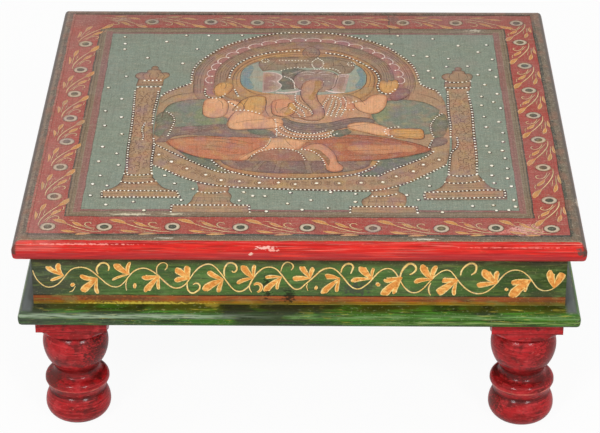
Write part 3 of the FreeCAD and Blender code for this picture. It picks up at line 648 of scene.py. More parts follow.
# What age has done to the top: spot size in millimetres, range, share and colour
PATINA = (
    ((17.0, 17.0, 9.0), 0.5, 0.68, 0.25, "#c9785e"),
    ((12.0, 14.0, 9.0), 0.53, 0.7, 0.3, "#d3ad62"),
    ((19.0, 15.0, 9.0), 0.52, 0.7, 0.25, "#7f9078"),
    ((14.0, 18.0, 9.0), 0.53, 0.7, 0.3, "#8b6f8c"),
)
WEAR = (
    ((8.0, 0.9, 9.0), 0.55, 0.75, 0.26, "#ddd0b4"),
    ((0.9, 8.0, 9.0), 0.55, 0.75, 0.26, "#5c4c3c"),
    ((1.3, 1.1, 9.0), 0.54, 0.76, 0.34, "#e6dac2"),
    ((1.1, 1.3, 9.0), 0.54, 0.76, 0.4, "#43352a"),
)

# How the bands round the top lie on each side: their stretch, and their shift in millimetres. Their
# colours are told up to this far in
BAND_REACH = 64.0
BAND_FIT = {"left": (0.946, 5.58), "right": (1.015, 2.63), "front": (0.962, -3.5), "rear": (0.898, 3.0)}

# Dark brown and dark red patches on the two front legs, the largest down the right side of each:
# centre, reach and colour
LEG_MARKS = (
    ((-157.0, -206.0, 66.0), (25.0, 26.0, 32.0), "#4a1815"),
    ((-204.0, -196.0, 38.0), (14.0, 24.0, 12.0), "#5c241c"),
    ((212.0, -202.0, 62.0), (24.0, 26.0, 36.0), "#6c0f0c"),
    ((172.0, -208.0, 44.0), (30.0, 22.0, 5.0), "#5c120e"),
    ((156.0, -200.0, 20.0), (17.0, 20.0, 14.0), "#5c2018"),
)

# How strong the painted shade on a leg is at each height in millimetres: at the foot, in the crease under
# the ring, in the neck and under the block
LEG_SHADES = (
    (0.0, 0.95), (3.5, 0.4), (8.0, 0.0), (21.5, 0.0), (24.4, 1.0), (26.4, 0.9), (27.6, 0.05), (38.5, 0.05),
    (43.0, 0.6), (46.5, 1.0), (50.0, 0.7), (54.0, 0.1), (83.0, 0.0), (85.2, 1.0), (86.8, 0.4), (89.0, 0.0),
    (92.4, 0.2), (93.6, 0.7), (95.0, 0.0), (105.0, 0.0),
)


def linear(hex_colour):
    """The linear colour of an sRGB hex value."""
    channels = [int(hex_colour[place:place + 2], 16) / 255 for place in (1, 3, 5)]
    return [value / 12.92 if value <= 0.04045 else ((value + 0.055) / 1.055) ** 2.4 for value in channels]


def chosen(name, hex_colour, description):
    """A colour that the user can change in the panel."""
    return bpy.props.FloatVectorProperty(
        name=name, description=description, subtype="COLOR", size=3, min=0.0, max=1.0,
        default=linear(hex_colour),
    )


def length(name, millimetres, description):
    """A length that the user can change in the panel."""
    return bpy.props.FloatProperty(
        name=name, description=description, subtype="DISTANCE", unit="LENGTH", min=0.0, precision=5,
        default=millimetres * MM,
    )


class LowTablePaints(bpy.types.PropertyGroup):
    """The paints of the table, as they look under the varnish."""

    teal: chosen("Ground", "#889382", "Greyed teal behind the picture")
    border_red: chosen("Border red", "#ad453b", "Madder red of the flower border")
    olive: chosen("Olive band", "#857057", "Band between the border and the picture")
    nose_red: chosen("Nose red", "#cc1f18", "Bright red of the front edge")
    rim_grey: chosen("Rim grey", "#6c5c4a", "Greyed olive along the rim of the top")
    apron_green: chosen("Apron green", "#4d6e35", "Mid green behind the vine")
    base_green: chosen("Base green", "#355c12", "Leaf green of the base frame")
    leg_red: chosen("Leg red", "#b01c20", "Crimson of the turned legs")
    ochre: chosen("Ochre", "#b38f6e", "Pillars and throne")
    bead: chosen("Bead cream", "#fffaec", "Raised dots of thick cream paint")
    outline: chosen("Outline", "#4b3326", "Dark brown drawing lines")
    flower: chosen("Flower", "#d9964f", "Leaves of the border sprays")
    vine: chosen("Vine", "#e6984a", "Vine and leaves on the aprons")


class LowTableSizes(bpy.types.PropertyGroup):
    """The sizes of the painted relief."""

    coat: length("Coat", 0.034, "How much each coat of paint stands above the one below")
    bead_radius: length("Bead radius", 1.02, "Radius of the beads that stand in rows")
    dot_radius: length("Dot radius", 1.42, "Radius of the single beads on the ground")
    bead_height: length("Bead height", 0.58, "How far the beads stand above the boards")
    shade_depth: length("Shade depth", 3.2, "How far the shade reaches in from a painted shape's edge")


class LowTableStage(bpy.types.PropertyGroup):
    """The camera and the light."""

    lens: bpy.props.FloatProperty(
        name="Lens", description="Focal length on a 36 mm wide film", default=142.81, min=20.0, unit="CAMERA",
    )
    key_power: bpy.props.FloatProperty(
        name="Key lamps", description="Power of each of the two lamps in front", default=27.0, min=0.0,
        unit="POWER",
    )
    top_power: bpy.props.FloatProperty(
        name="Top lamp", description="Power of the broad lamp overhead", default=10.0, min=0.0, unit="POWER",
    )
    sky: bpy.props.FloatProperty(
        name="Sky", description="Strength of the even light from all round", default=0.34, min=0.0,
    )


def socket_value(value):
    """A colour as a node's socket takes it, linear with full opacity. Anything else comes back as it is."""
    if isinstance(value, str):
        return (*linear(value), 1.0)
    return (*value, 1.0) if isinstance(value, Color) else value


def add(tree, kind, inputs=(), out=0, stops=(), **settings):
    """Adds a node with its settings, values and links, and returns one of its outputs."""
    node = tree.nodes.new(kind)
    for name, value in settings.items():
        setattr(node, name, value)
    for name, value in dict(inputs).items():
        if isinstance(value, bpy.types.NodeSocket):
            tree.links.new(value, node.inputs[name])
        else:
            node.inputs[name].default_value = socket_value(value)
    for number, (place, colour) in enumerate(stops):
        ramp = node.color_ramp.elements
        stop = ramp[number] if number < 2 else ramp.new(place)
        stop.position = place
        stop.color = socket_value(colour)
    return node.outputs[out]


def new_material(name, roughness, varnish, varnish_roughness=0.22):
    """A varnished material, its shader, and the place on the piece in millimetres."""
    material = bpy.data.materials.new(name)
    material.use_nodes = True
    tree = material.node_tree
    shader = tree.nodes["Principled BSDF"]
    for socket, value in (
        ("Roughness", roughness), ("IOR", 1.45), ("Specular IOR Level", 0.1), ("Coat Weight", varnish),
        ("Coat Roughness", varnish_roughness), ("Coat IOR", 1.5),
    ):
        shader.inputs[socket].default_value = value
    here = add(tree, "ShaderNodeTexCoord", out="Object")
    place = add(tree, "ShaderNodeVectorMath", {0: here, "Scale": 1 / MM}, operation="SCALE")
    return material, tree, shader, place


def mottle(tree, place, spot, low, high, seed=0.0, detail=4.0):
    """How strongly a mottling shows, from 0 to 1. Its spots have the given sizes in millimetres."""
    spots = add(tree, "ShaderNodeMapping", {
        "Vector": place, "Location": (seed, seed, seed), "Scale": [1 / size for size in spot],
    })
    strength = add(tree, "ShaderNodeTexNoise", {"Vector": spots, "Scale": 1.0, "Detail": detail})
    return add(tree, "ShaderNodeMapRange", {0: strength, 1: low, 2: high})


def coats(tree, colour, *layers):
    """A colour with more coats over it. Each has the strength it shows with, its share and its colour."""
    for strength, share, coat in layers:
        if share < 1:
            strength = add(tree, "ShaderNodeMath", {0: strength, 1: share}, operation="MULTIPLY")
        colour = add(tree, "ShaderNodeMix", {0: strength, 6: colour, 7: coat}, out=2, data_type="RGBA")
    return colour


def layered(tree, place, colour, layers, first=3.0):
    """A colour with mottled coats. Each has its spot size, its range, its share and its colour."""
    for number, (spot, low, high, share, coat) in enumerate(layers):
        shown = mottle(tree, place, spot, low, high, seed=first + SEED_STEP * number, detail=3.0)
        colour = coats(tree, colour, (shown, share, coat))
    return colour


def soft_band(tree, value, centre, reach):
    """Where a value lies near the centre: one in the middle third of the reach, none at its ends."""
    away = add(tree, "ShaderNodeMath", {0: value, 1: centre}, operation="SUBTRACT")
    away = add(tree, "ShaderNodeMath", {0: away}, operation="ABSOLUTE")
    return add(tree, "ShaderNodeMapRange", {0: away, 1: reach, 2: reach * 0.3})


def marked(tree, place, colour, marks, ragged_share=-0.9, share=0.85):
    """A colour with single ragged marks. Each has its centre and reach in millimetres, and its colour."""
    for number, (centre, reach, coat) in enumerate(marks):
        away = add(tree, "ShaderNodeVectorMath", {0: place, 1: centre}, operation="SUBTRACT")
        in_reaches = [1 / size for size in reach]
        away = add(tree, "ShaderNodeVectorMath", {0: away, 1: in_reaches}, operation="MULTIPLY")
        far = add(tree, "ShaderNodeVectorMath", {0: away}, out="Value", operation="LENGTH")
        ragged = mottle(tree, place, (2.6, 1.5, 1.5), 0.35, 0.65, seed=2.0 + number)
        edge = add(tree, "ShaderNodeMath", {0: ragged, 1: ragged_share, 2: far}, operation="MULTIPLY_ADD")
        inside = add(tree, "ShaderNodeMapRange", {0: edge, 1: 0.4, 2: 0.0})
        colour = coats(tree, colour, (inside, share, coat))
    return colour


def finish_paint(tree, shader, colour, relief, depth):
    """Gives the shader its colour and its relief, which is this deep in millimetres."""
    tree.links.new(colour, shader.inputs["Base Color"])
    bump = add(tree, "ShaderNodeBump", {"Strength": 1.0, "Distance": depth * MM, "Height": relief})
    tree.links.new(bump, shader.inputs["Normal"])
    tree.links.new(bump, shader.inputs["Coat Normal"])


def dress(names, material):
    """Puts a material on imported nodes."""
    for name in names:
        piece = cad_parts[name]
        piece.data.materials.clear()
        piece.data.materials.append(material)


def faded(tree, place, colour):
    """A colour of the top, paler and pinker towards its left edge and duller brown towards its rear edge."""
    across = add(tree, "ShaderNodeSeparateXYZ", {0: place}, out="X")
    rear = add(tree, "ShaderNodeMapRange", {0: across.node.outputs["Y"], 1: 184.0, 2: 194.0})
    left = add(tree, "ShaderNodeMapRange", {0: across, 1: -186.0, 2: -198.0})
    return coats(tree, colour, (left, 0.2, "#c49c92"), (rear, 0.34, "#8d6c64"))


def aged(tree, place, colour):
    """A colour of the top as it shows through the grain, the wear and the old varnish, and the grain."""
    grain = mottle(tree, place, (0.9, 26.0, 9.0), 0.45, 0.78, detail=3.0)
    colour = layered(tree, place, faded(tree, place, colour), WEAR)
    return coats(tree, colour, (grain, 0.22, "#3f3228")), grain


def picture_paint(name, colour, shade, depth):
    """Tempera brushed over the ground, thinner and darker at the edge of each shape."""
    material, tree, shader, place = new_material(name, 0.55, 0.08, 0.3)
    rim = add(tree, "ShaderNodeAttribute", out="Fac", attribute_name="rim")
    inside = add(tree, "ShaderNodeMapRange", {0: rim, 1: 0.0, 2: depth / MM})
    brush = mottle(tree, place, (3.0, 7.0, 3.0), 0.35, 0.7, seed=11.0)
    body = coats(tree, shade, (inside, 1, colour), (brush, 0.2, shade))
    old, grain = aged(tree, place, layered(tree, place, body, PATINA, first=51.0))
    finish_paint(tree, shader, old, grain, -0.05)
    return material


def edge_distance(tree, place):
    """Distance in from the edge of the top as the painter measured it: all round, across and along."""
    axes = add(tree, "ShaderNodeSeparateXYZ", {0: place}, out="X")
    reach = {}
    for side, axis, way in (("left", "X", 1), ("right", "X", -1), ("front", "Y", 1), ("rear", "Y", -1)):
        stretch, shift = BAND_FIT[side]
        reach[side] = add(tree, "ShaderNodeMath", {
            0: axes.node.outputs[axis], 1: stretch * way, 2: TABLE_HALF * stretch + shift,
        }, operation="MULTIPLY_ADD")
    across = add(tree, "ShaderNodeMath", {0: reach["left"], 1: reach["right"]}, operation="MINIMUM")
    along = add(tree, "ShaderNodeMath", {0: reach["front"], 1: reach["rear"]}, operation="MINIMUM")
    distance = add(tree, "ShaderNodeMath", {0: across, 1: along}, operation="MINIMUM")
    waver = mottle(tree, place, (22.0, 22.0, 22.0), 0.3, 0.7, seed=5.0)
    around = add(tree, "ShaderNodeMath", {0: waver, 1: 1.0, 2: distance}, operation="MULTIPLY_ADD")
    return around, across, along


def painted_bands(tree, place, paints):
    """The flat bands of colour round the top: nose, rim, flower border, olive band, picture ground."""
    around, across, along = edge_distance(tree, place)
    rim, olive, mauve = paints.rim_grey, paints.olive, "#96635c"
    bands = (
        (0.0, paints.nose_red), (2.6, "#94805c"), (4.0, rim), (6.6, "#554b3d"), (7.2, rim), (11.2, "#35362c"),
        (14.1, paints.border_red), (40.6, "#43382f"), (41.9, olive), (43.6, "#5f4e3d"), (44.2, olive),
        (46.4, "#94806a"), (47.2, olive), (49.4, "#54443a"), (50.1, mauve), (52.4, "#5f5146"),
        (52.9, paints.teal),
    )
    step = add(tree, "ShaderNodeMath", {0: around, 1: 1 / BAND_REACH}, operation="MULTIPLY")
    colour = add(tree, "ShaderNodeValToRGB", {0: step}, stops=[(at / BAND_REACH, tint) for at, tint in bands])
    colour.node.color_ramp.interpolation = "CONSTANT"
    wide = add(tree, "ShaderNodeMath", {0: across, 1: 49.3, 2: 2.7}, operation="COMPARE")
    inner = add(tree, "ShaderNodeMath", {0: along, 1: 47.5}, operation="GREATER_THAN")
    both = add(tree, "ShaderNodeMath", {0: wide, 1: inner}, operation="MULTIPLY")
    return coats(tree, colour, (both, 0.8, mauve))


def bare_below(tree, colour, place):
    """The colour, with bare old wood wherever the face looks down."""
    normal = add(tree, "ShaderNodeNewGeometry", out="Normal")
    down = add(tree, "ShaderNodeSeparateXYZ", {0: normal}, out="Z")
    under = add(tree, "ShaderNodeMath", {0: down, 1: -0.8}, operation="LESS_THAN")
    grain = mottle(tree, place, (1.6, 60.0, 1.6), 0.35, 0.7, seed=2.0)
    wood = coats(tree, "#8d6b45", (grain, 1, "#5f4227"))
    return coats(tree, colour, (under, 1, wood))


def board_material(paints):
    """Distemper on planed boards under oil varnish: flat colour bands that show the grain."""
    material, tree, shader, place = new_material("painted_board", 0.55, 0.08, 0.3)
    colour = layered(tree, place, painted_bands(tree, place, paints), (
        ((60.0, 50.0, 50.0), 0.4, 0.7, 0.14, "#8a9aa0"),
        ((30.0, 24.0, 9.0), 0.5, 0.7, 0.12, "#76704c"),
        ((26.0, 34.0, 9.0), 0.52, 0.7, 0.12, "#a87f78"),
        ((9.0, 5.0, 9.0), 0.52, 0.7, 0.16, "#6b6048"),
    ), first=21.0)
    old, grain = aged(tree, place, marked(tree, place, colour, TOP_MARKS))
    finish_paint(tree, shader, bare_below(tree, old, place), grain, -0.08)
    return material


def lipping_material(paints):
    """Gloss oil paint on a half round edge strip: red nose with painted highlights and painted shade, the
    top's bands on its flat.
    """
    material, tree, shader, place = new_material("gloss_painted_lipping", 0.5, 0.2, 0.12)
    colour = faded(tree, place, painted_bands(tree, place, paints))
    axes = add(tree, "ShaderNodeSeparateXYZ", {0: place}, out="X")
    up = axes.node.outputs["Z"]
    wide = add(tree, "ShaderNodeMath", {0: axes}, operation="ABSOLUTE")
    around = edge_distance(tree, place)[0]
    nose, centre, end, over, flat, low = [
        add(tree, "ShaderNodeMapRange", {0: value, 1: none, 2: full})
        for value, none, full in (
            (up, LIPPING_TOP - 6.2, LIPPING_TOP - 6.8), (wide, 150.0, 60.0), (wide, 223.5, 225.5),
            (up, LIPPING_TOP - 10.0, LIPPING_TOP - 9.0), (around, 2.3, 2.8),
            (up, LIPPING_TOP - 5.2, LIPPING_TOP - 8.2),
        )
    ]
    corner = add(tree, "ShaderNodeMath", {0: end, 1: over}, operation="MULTIPLY")
    worn = layered(tree, place, layered(tree, place, colour, WEAR), (
        ((1.4, 5.0, 9.0), 0.5, 0.7, 0.45, "#a0917a"),
        ((5.0, 1.4, 9.0), 0.5, 0.7, 0.5, "#43362b"),
        ((1.2, 1.2, 9.0), 0.57, 0.7, 0.55, "#c8b698"),
        ((9.0, 9.0, 9.0), 0.5, 0.66, 0.25, "#50553c"),
        ((14.0, 14.0, 9.0), 0.48, 0.62, 0.38, "#98644e"),
    ), first=31.0)
    red = coats(tree, paints.nose_red, (centre, 0.5, "#e23020"))
    # Coats on the red nose: the bright red streaks and the long thin pale pink streaks are painted highlights
    gloss = layered(tree, place, coats(tree, colour, (nose, 1, red)), (
        ((30.0, 30.0, 1.5), 0.48, 0.66, 0.6, "#84120c"),
        ((24.0, 24.0, 0.9), 0.5, 0.64, 0.6, "#e83828"),
        ((9.0, 9.0, 1.0), 0.56, 0.68, 0.5, "#9a3a22"),
        ((70.0, 70.0, 0.5), 0.6, 0.66, 0.45, "#f4a090"),
        ((6.0, 6.0, 0.7), 0.64, 0.72, 0.35, "#ee7666"),
    ), first=41.0)
    # The lower half of the nose, where it turns down, darkens in streaks to purple red: painted shade
    dull = mottle(tree, place, (40.0, 40.0, 2.4), 0.3, 0.46, seed=9.0)
    purple = add(tree, "ShaderNodeMath", {0: low, 1: dull}, operation="MULTIPLY")
    relief = mottle(tree, place, (18.0, 18.0, 1.1), 0.3, 0.8, seed=6.0)
    whole = coats(tree, gloss, (purple, 0.6, "#942a30"), (flat, 1, worn), (corner, 0.85, "#43342a"))
    finish_paint(tree, shader, marked(tree, place, whole, EDGE_MARKS), relief, 0.05)
    return material


def apron_material(paints):
    """Oil paint brushed along the apron: green ground over rust, ochre and yellow lines, painted shade under
    the lip.
    """
    material, tree, shader, place = new_material("painted_apron", 0.5, 0.08, 0.28)
    axes = add(tree, "ShaderNodeSeparateXYZ", {0: place}, out="X")
    up = axes.node.outputs["Z"]
    waver = mottle(tree, place, (40.0, 40.0, 40.0), 0.3, 0.7, seed=5.0)
    height = add(tree, "ShaderNodeMath", {0: waver, 1: 0.6, 2: up}, operation="MULTIPLY_ADD")
    # shade is the top of the apron, which painted shade under the lip darkens to brown
    step, ground, west, east, shade = [
        add(tree, "ShaderNodeMapRange", {0: value, 1: none, 2: full})
        for value, none, full in (
            (height, APRON_FOOT, APRON_HEAD + 2), (height, APRON_FOOT + 8.8, APRON_FOOT + 9.3),
            (axes, -140.0, -215.0), (axes, 110.0, 215.0), (height, APRON_FOOT + 34.0, APRON_FOOT + 41.0),
        )
    ]
    rise = APRON_HEAD + 2 - APRON_FOOT
    # Bands from the foot up; the brown and dark brown ones at the top are painted shade under the lip
    bands = (
        (0.0, "#a08a2c"), (1.2, "#a8741e"), (3.5, "#a4562c"), (8.2, "#3a2a16"), (9.1, paints.apron_green),
        (41.0, "#6a5a45"), (46.0, "#3a2d26"),
    )
    colour = add(tree, "ShaderNodeValToRGB", {0: step}, stops=[(at / rise, tint) for at, tint in bands])
    colour.node.color_ramp.interpolation = "CONSTANT"
    left, right = [
        add(tree, "ShaderNodeMath", {0: ground, 1: end}, operation="MULTIPLY") for end in (west, east)
    ]
    ends = add(tree, "ShaderNodeMath", {0: west, 1: east}, operation="MAXIMUM")
    colour = coats(
        tree, colour,
        (ends, 0.35, "#3a1c08"), (left, 0.88, "#42403c"), (right, 0.8, "#2c3d12"), (shade, 0.75, "#4c3828"),
    )
    colour = layered(tree, place, colour, (
        ((20.0, 20.0, 9.0), 0.48, 0.62, 0.4, "#33472a"),
        ((26.0, 26.0, 5.0), 0.5, 0.64, 0.4, "#4a4438"),
        ((18.0, 18.0, 6.0), 0.54, 0.68, 0.28, "#7f9a5c"),
        ((22.0, 22.0, 1.1), 0.52, 0.68, 0.45, "#262b12"),
        ((14.0, 14.0, 1.2), 0.56, 0.72, 0.3, "#8d9a48"),
        ((1.6, 1.6, 1.2), 0.6, 0.74, 0.3, "#a7a874"),
    ), first=12.0)
    relief = mottle(tree, place, (20.0, 20.0, 0.9), 0.3, 0.8, seed=6.0)
    finish_paint(tree, shader, marked(tree, place, colour, APRON_MARKS), relief, 0.1)
    return material


def base_material(paints):
    """Oil paint on the base frame: leaf green nose with painted highlights and painted shade, olive ledge,
    rubbed black and grey in places.
    """
    material, tree, shader, place = new_material("painted_base_frame", 0.5, 0.12, 0.14)
    axes = add(tree, "ShaderNodeSeparateXYZ", {0: place}, out="X")
    up = axes.node.outputs["Z"]
    aside = add(tree, "ShaderNodeMath", {0: axes}, operation="ABSOLUTE")
    off_middle = add(tree, "ShaderNodeMath", {0: axes, 1: 24.0}, operation="ADD")
    off_middle = add(tree, "ShaderNodeMath", {0: off_middle}, operation="ABSOLUTE")
    ledge, greyed, end, beside, left, right, middle, foot = [
        add(tree, "ShaderNodeMapRange", {0: value, 1: none, 2: full})
        for value, none, full in (
            (up, BASE_TOP - 2.4, BASE_TOP - 0.5), (axes, -70.0, -150.0), (axes, -160.0, -215.0),
            (aside, 214.0, 217.0), (axes, -20.0, -90.0), (axes, 50.0, 90.0), (off_middle, 60.0, 36.0),
            (up, BASE_TOP - 9.0, BASE_TOP - 13.0),
        )
    ]
    # Two bands along the nose, on its crest and lower down, where streaks of painted highlight are laid
    shine = soft_band(tree, up, BASE_TOP - 4.6, 2.3)
    low_sheen_band = soft_band(tree, up, BASE_TOP - 9.4, 1.7)
    smoke = mottle(tree, place, (30.0, 30.0, 7.0), 0.36, 0.52, seed=3.0)
    sheen_streaks = mottle(tree, place, (17.0, 17.0, 1.0), 0.36, 0.56, seed=9.0)
    sides, west, east, cloud, rubbed = [
        add(tree, "ShaderNodeMath", {0: one, 1: other}, operation="MULTIPLY")
        for one, other in ((beside, ledge), (shine, left), (low_sheen_band, right), (smoke, middle), (sheen_streaks, shine))
    ]
    # Streaks of painted highlight: grey on the crest at the left, pale olive low on the right
    worn, low = [
        add(tree, "ShaderNodeMath", {0: sheen_streaks, 1: part}, operation="MULTIPLY") for part in (west, east)
    ]
    # foot darkens the lower half of the nose, where it turns down, as painted shade
    colour = coats(
        tree, paints.base_green,
        (greyed, 0.75, "#454f40"), (foot, 0.35, "#2a4a16"), (ledge, 1, "#4c5218"),
    )
    colour = layered(tree, place, colour, (
        ((34.0, 34.0, 1.4), 0.46, 0.64, 0.65, "#18260a"),
        ((30.0, 30.0, 1.1), 0.5, 0.66, 0.5, "#4f962a"),
        ((26.0, 26.0, 5.0), 0.58, 0.66, 0.7, "#1f2313"),
        ((16.0, 16.0, 0.7), 0.6, 0.68, 0.6, "#c0b048"),
        ((2.4, 2.4, 0.9), 0.6, 0.72, 0.4, "#a8b48a"),
        ((22.0, 22.0, 1.0), 0.56, 0.68, 0.5, "#141c0c"),
    ), first=16.0)
    # rubbed, low and worn are pale streaks of painted highlight along the nose
    colour = coats(
        tree, colour,
        (end, 0.5, "#3c4238"), (sides, 0.85, "#6c7272"), (rubbed, 0.4, "#8fb074"), (low, 0.55, "#a4b870"),
        (cloud, 0.8, "#292a20"), (worn, 0.55, "#a4b0a0"),
    )
    relief = mottle(tree, place, (22.0, 22.0, 1.0), 0.3, 0.8, seed=6.0)
    finish_paint(tree, shader, bare_below(tree, colour, place), relief, 0.12)
    return material


def leg_material(paints):
    """Oil paint on lathe turned wood: crimson with painted highlights, painted shade in the coves, rubbed
    pale on the edges.
    """
    material, tree, shader, place = new_material("painted_turned_leg", 0.5, 0.24, 0.16)
    up = add(tree, "ShaderNodeSeparateXYZ", {0: place}, out="Z")
    step = add(tree, "ShaderNodeMath", {0: up, 1: 1 / LEG_TOP}, operation="MULTIPLY")
    cove_shade = add(tree, "ShaderNodeValToRGB", {0: step}, stops=[
        (at / LEG_TOP, (tone, tone, tone, 1.0)) for at, tone in LEG_SHADES])
    ring = add(tree, "ShaderNodeMath", {0: up, 1: 33.4, 2: 0.8}, operation="COMPARE")
    bright = mottle(tree, place, (8.0, 8.0, 1.6), 0.42, 0.6, seed=15.0)
    rubbed = add(tree, "ShaderNodeMath", {0: ring, 1: bright}, operation="MULTIPLY")
    # The lighter crimson patches, #d83c40, and the pale red streaks, #d8605a, are painted highlights
    colour = layered(tree, place, paints.leg_red, (
        ((17.0, 17.0, 13.0), 0.46, 0.6, 0.6, "#74100e"),
        ((12.0, 12.0, 9.0), 0.53, 0.63, 0.7, "#43130f"),
        ((30.0, 30.0, 1.3), 0.5, 0.66, 0.55, "#5c0f0d"),
        ((24.0, 24.0, 1.1), 0.54, 0.68, 0.5, "#d83c40"),
        ((10.0, 10.0, 12.0), 0.54, 0.66, 0.4, "#cc3c40"),
        ((4.0, 4.0, 1.3), 0.58, 0.72, 0.35, "#d8605a"),
        ((3.0, 3.0, 1.5), 0.56, 0.7, 0.45, "#3a0e0c"),
        ((3.0, 3.0, 2.2), 0.72, 0.75, 0.5, "#c79a84"),
    ), first=31.0)
    colour = marked(tree, place, colour, LEG_MARKS)
    # Painted shade in the coves and creases, and the pale rubbed rim of the ring
    colour = coats(tree, colour, (cove_shade, 0.7, "#35100d"), (rubbed, 0.7, "#d9705f"))
    relief = mottle(tree, place, (7.0, 7.0, 2.0), 0.3, 0.8, seed=6.0)
    finish_paint(tree, shader, colour, relief, 0.06)
    return material


def vine_material(name, yellow, pale, deep):
    """Chrome yellow oil paint in single brush strokes, paler where it is thick and orange where thin."""
    material, tree, shader, place = new_material(name, 0.45, 0.15, 0.25)
    thin = mottle(tree, place, (5.0, 5.0, 4.0), 0.4, 0.65, seed=3.0)
    colour = layered(tree, place, yellow, (
        ((4.0, 4.0, 3.0), 0.48, 0.62, 0.6, pale),
        ((4.0, 4.0, 2.4), 0.5, 0.62, 0.7, deep),
        ((26.0, 26.0, 20.0), 0.52, 0.62, 0.35, deep),
        ((1.2, 1.2, 2.0), 0.58, 0.7, 0.5, "#7a4a1c"),
    ), first=6.0)
    finish_paint(tree, shader, colour, thin, 0.05)
    return material


def bead_material(cream):
    """Thick cream paint dropped from a cone, under varnish: glossy little domes, some yellowed."""
    material, tree, shader, place = new_material("cream_bead", 0.35, 0.4, 0.15)
    yellowed = mottle(tree, place, (14.0, 14.0, 14.0), 0.4, 0.65, seed=3.0)
    spots = mottle(tree, place, (1.0, 1.0, 1.0), 0.5, 0.8, seed=5.0)
    colour = coats(tree, cream, (yellowed, 0.45, "#f0dfae"), (spots, 0.2, "#cbb98f"))
    finish_paint(tree, shader, colour, spots, 0.05)
    return material


def wood_material():
    """Sawn softwood, bare and browned with age: open grain along the piece, matt."""
    material, tree, shader, place = new_material("bare_softwood", 0.8, 0.0)
    grain = mottle(tree, place, (60.0, 2.0, 2.0), 0.35, 0.7, seed=2.0)
    blot = mottle(tree, place, (25.0, 25.0, 25.0), 0.4, 0.7, seed=4.0)
    colour = coats(tree, "#9a7850", (grain, 1, "#6c4d2f"), (blot, 0.5, "#4f3b28"))
    finish_paint(tree, shader, colour, grain, 0.2)
    return material


def steel_material():
    """Mild steel nails and screws, dulled, with rust starting."""
    material, tree, shader, place = new_material("dull_steel", 0.5, 0.0)
    shader.inputs["Metallic"].default_value = 0.9
    shader.inputs["IOR"].default_value = 1.5
    rust = mottle(tree, place, (1.2, 1.2, 1.2), 0.45, 0.62, seed=2.0)
    colour = coats(tree, "#8b8a86", (rust, 1, "#5a3a26"))
    finish_paint(tree, shader, colour, rust, 0.05)
    return material


def drawn(text):
    """The points of a drawn line. A corner's point has a third number."""
    points = []
    for pair in text.split():
        across, down = pair.rstrip("!").split(",")
        points.append((float(across), float(down)) + (1.0,) * pair.endswith("!"))
    return points


def on_sheet(point):
    """A point of the picture's sheet as millimetres on the top."""
    return (point[0] / SQUARES - TABLE_HALF, TABLE_HALF - point[1] / SQUARES) + tuple(point[2:])


def on_arch(reach, turn):
    """The place on the top at this reach in squares and this turn in radians from the arch's centre."""
    return on_sheet((ARCH_CENTRE[0] + reach * math.cos(turn), ARCH_CENTRE[1] - reach * math.sin(turn)))


def sheet_line(text):
    """A line of the picture's sheet as millimetres on the top."""
    return [on_sheet(point) for point in drawn(text)]


def on_apron(text):
    """A line of the vine's sheet as millimetres from the apron's middle and up from its foot."""
    return [(VINE_SQUARE[0] * (across - VINE_ZERO[0]), VINE_SQUARE[1] * (VINE_ZERO[1] - down))
            for across, down in drawn(text)]


def round_points(centre, radius, count, parts=8):
    """So many points in turn round a circle that is divided into equal parts."""
    turns = [step * math.tau / parts for step in range(count)]
    return [(centre[0] + radius * math.cos(turn), centre[1] + radius * math.sin(turn)) for turn in turns]


def curve_mesh(lines, closed, width_of=None):
    """The mesh of smooth curves through the points, in millimetres. Lines with a width become thin rods."""
    curve = bpy.data.curves.new("brush_line", "CURVE")
    curve.dimensions = "2D" if closed else "3D"
    curve.fill_mode = "BOTH" if closed else "FULL"
    curve.resolution_u = 5
    if width_of:
        curve.bevel_depth = 0.5
        curve.bevel_resolution = 0
        curve.use_fill_caps = True
    for width, points in lines:
        spline = curve.splines.new("BEZIER")
        spline.bezier_points.add(len(points) - 1)
        spline.use_cyclic_u = closed
        for number, (knot, point) in enumerate(zip(spline.bezier_points, points)):
            knot.co = (point[0], point[1], 0.0)
            knot.handle_left_type = "VECTOR" if len(point) > 2 else "AUTO"
            knot.handle_right_type = knot.handle_left_type
            if width_of:
                knot.radius = width * width_of(number / (len(points) - 1))
    holder = bpy.data.objects.new("brush_line", curve)
    mesh = bpy.data.meshes.new_from_object(holder)
    bpy.data.objects.remove(holder)
    bpy.data.curves.remove(curve)
    return mesh


def even(along):
    """The width along an even line with soft ends."""
    return 0.55 + 0.45 * math.sin(math.pi * along) ** 0.5


def leaf(along):
    """The width along a brushed leaf: full soon after its round tip, drawn out to a point."""
    return max(0.12, math.sin(math.pi * min(1.0, along * 0.91 + 0.045)) ** 0.8)


def lobe(points):
    """Five points from the tip of a leaf through its middle to its foot, closest where it is round."""
    tip, middle, foot = [Vector(point) for point in points]
    pull = middle * 2 - (tip + foot) / 2
    return [
        (tip * (1 - at) ** 2 + pull * 2 * at * (1 - at) + foot * at ** 2)[:] for at in (0, 0.1, 0.35, 0.7, 1)
    ]


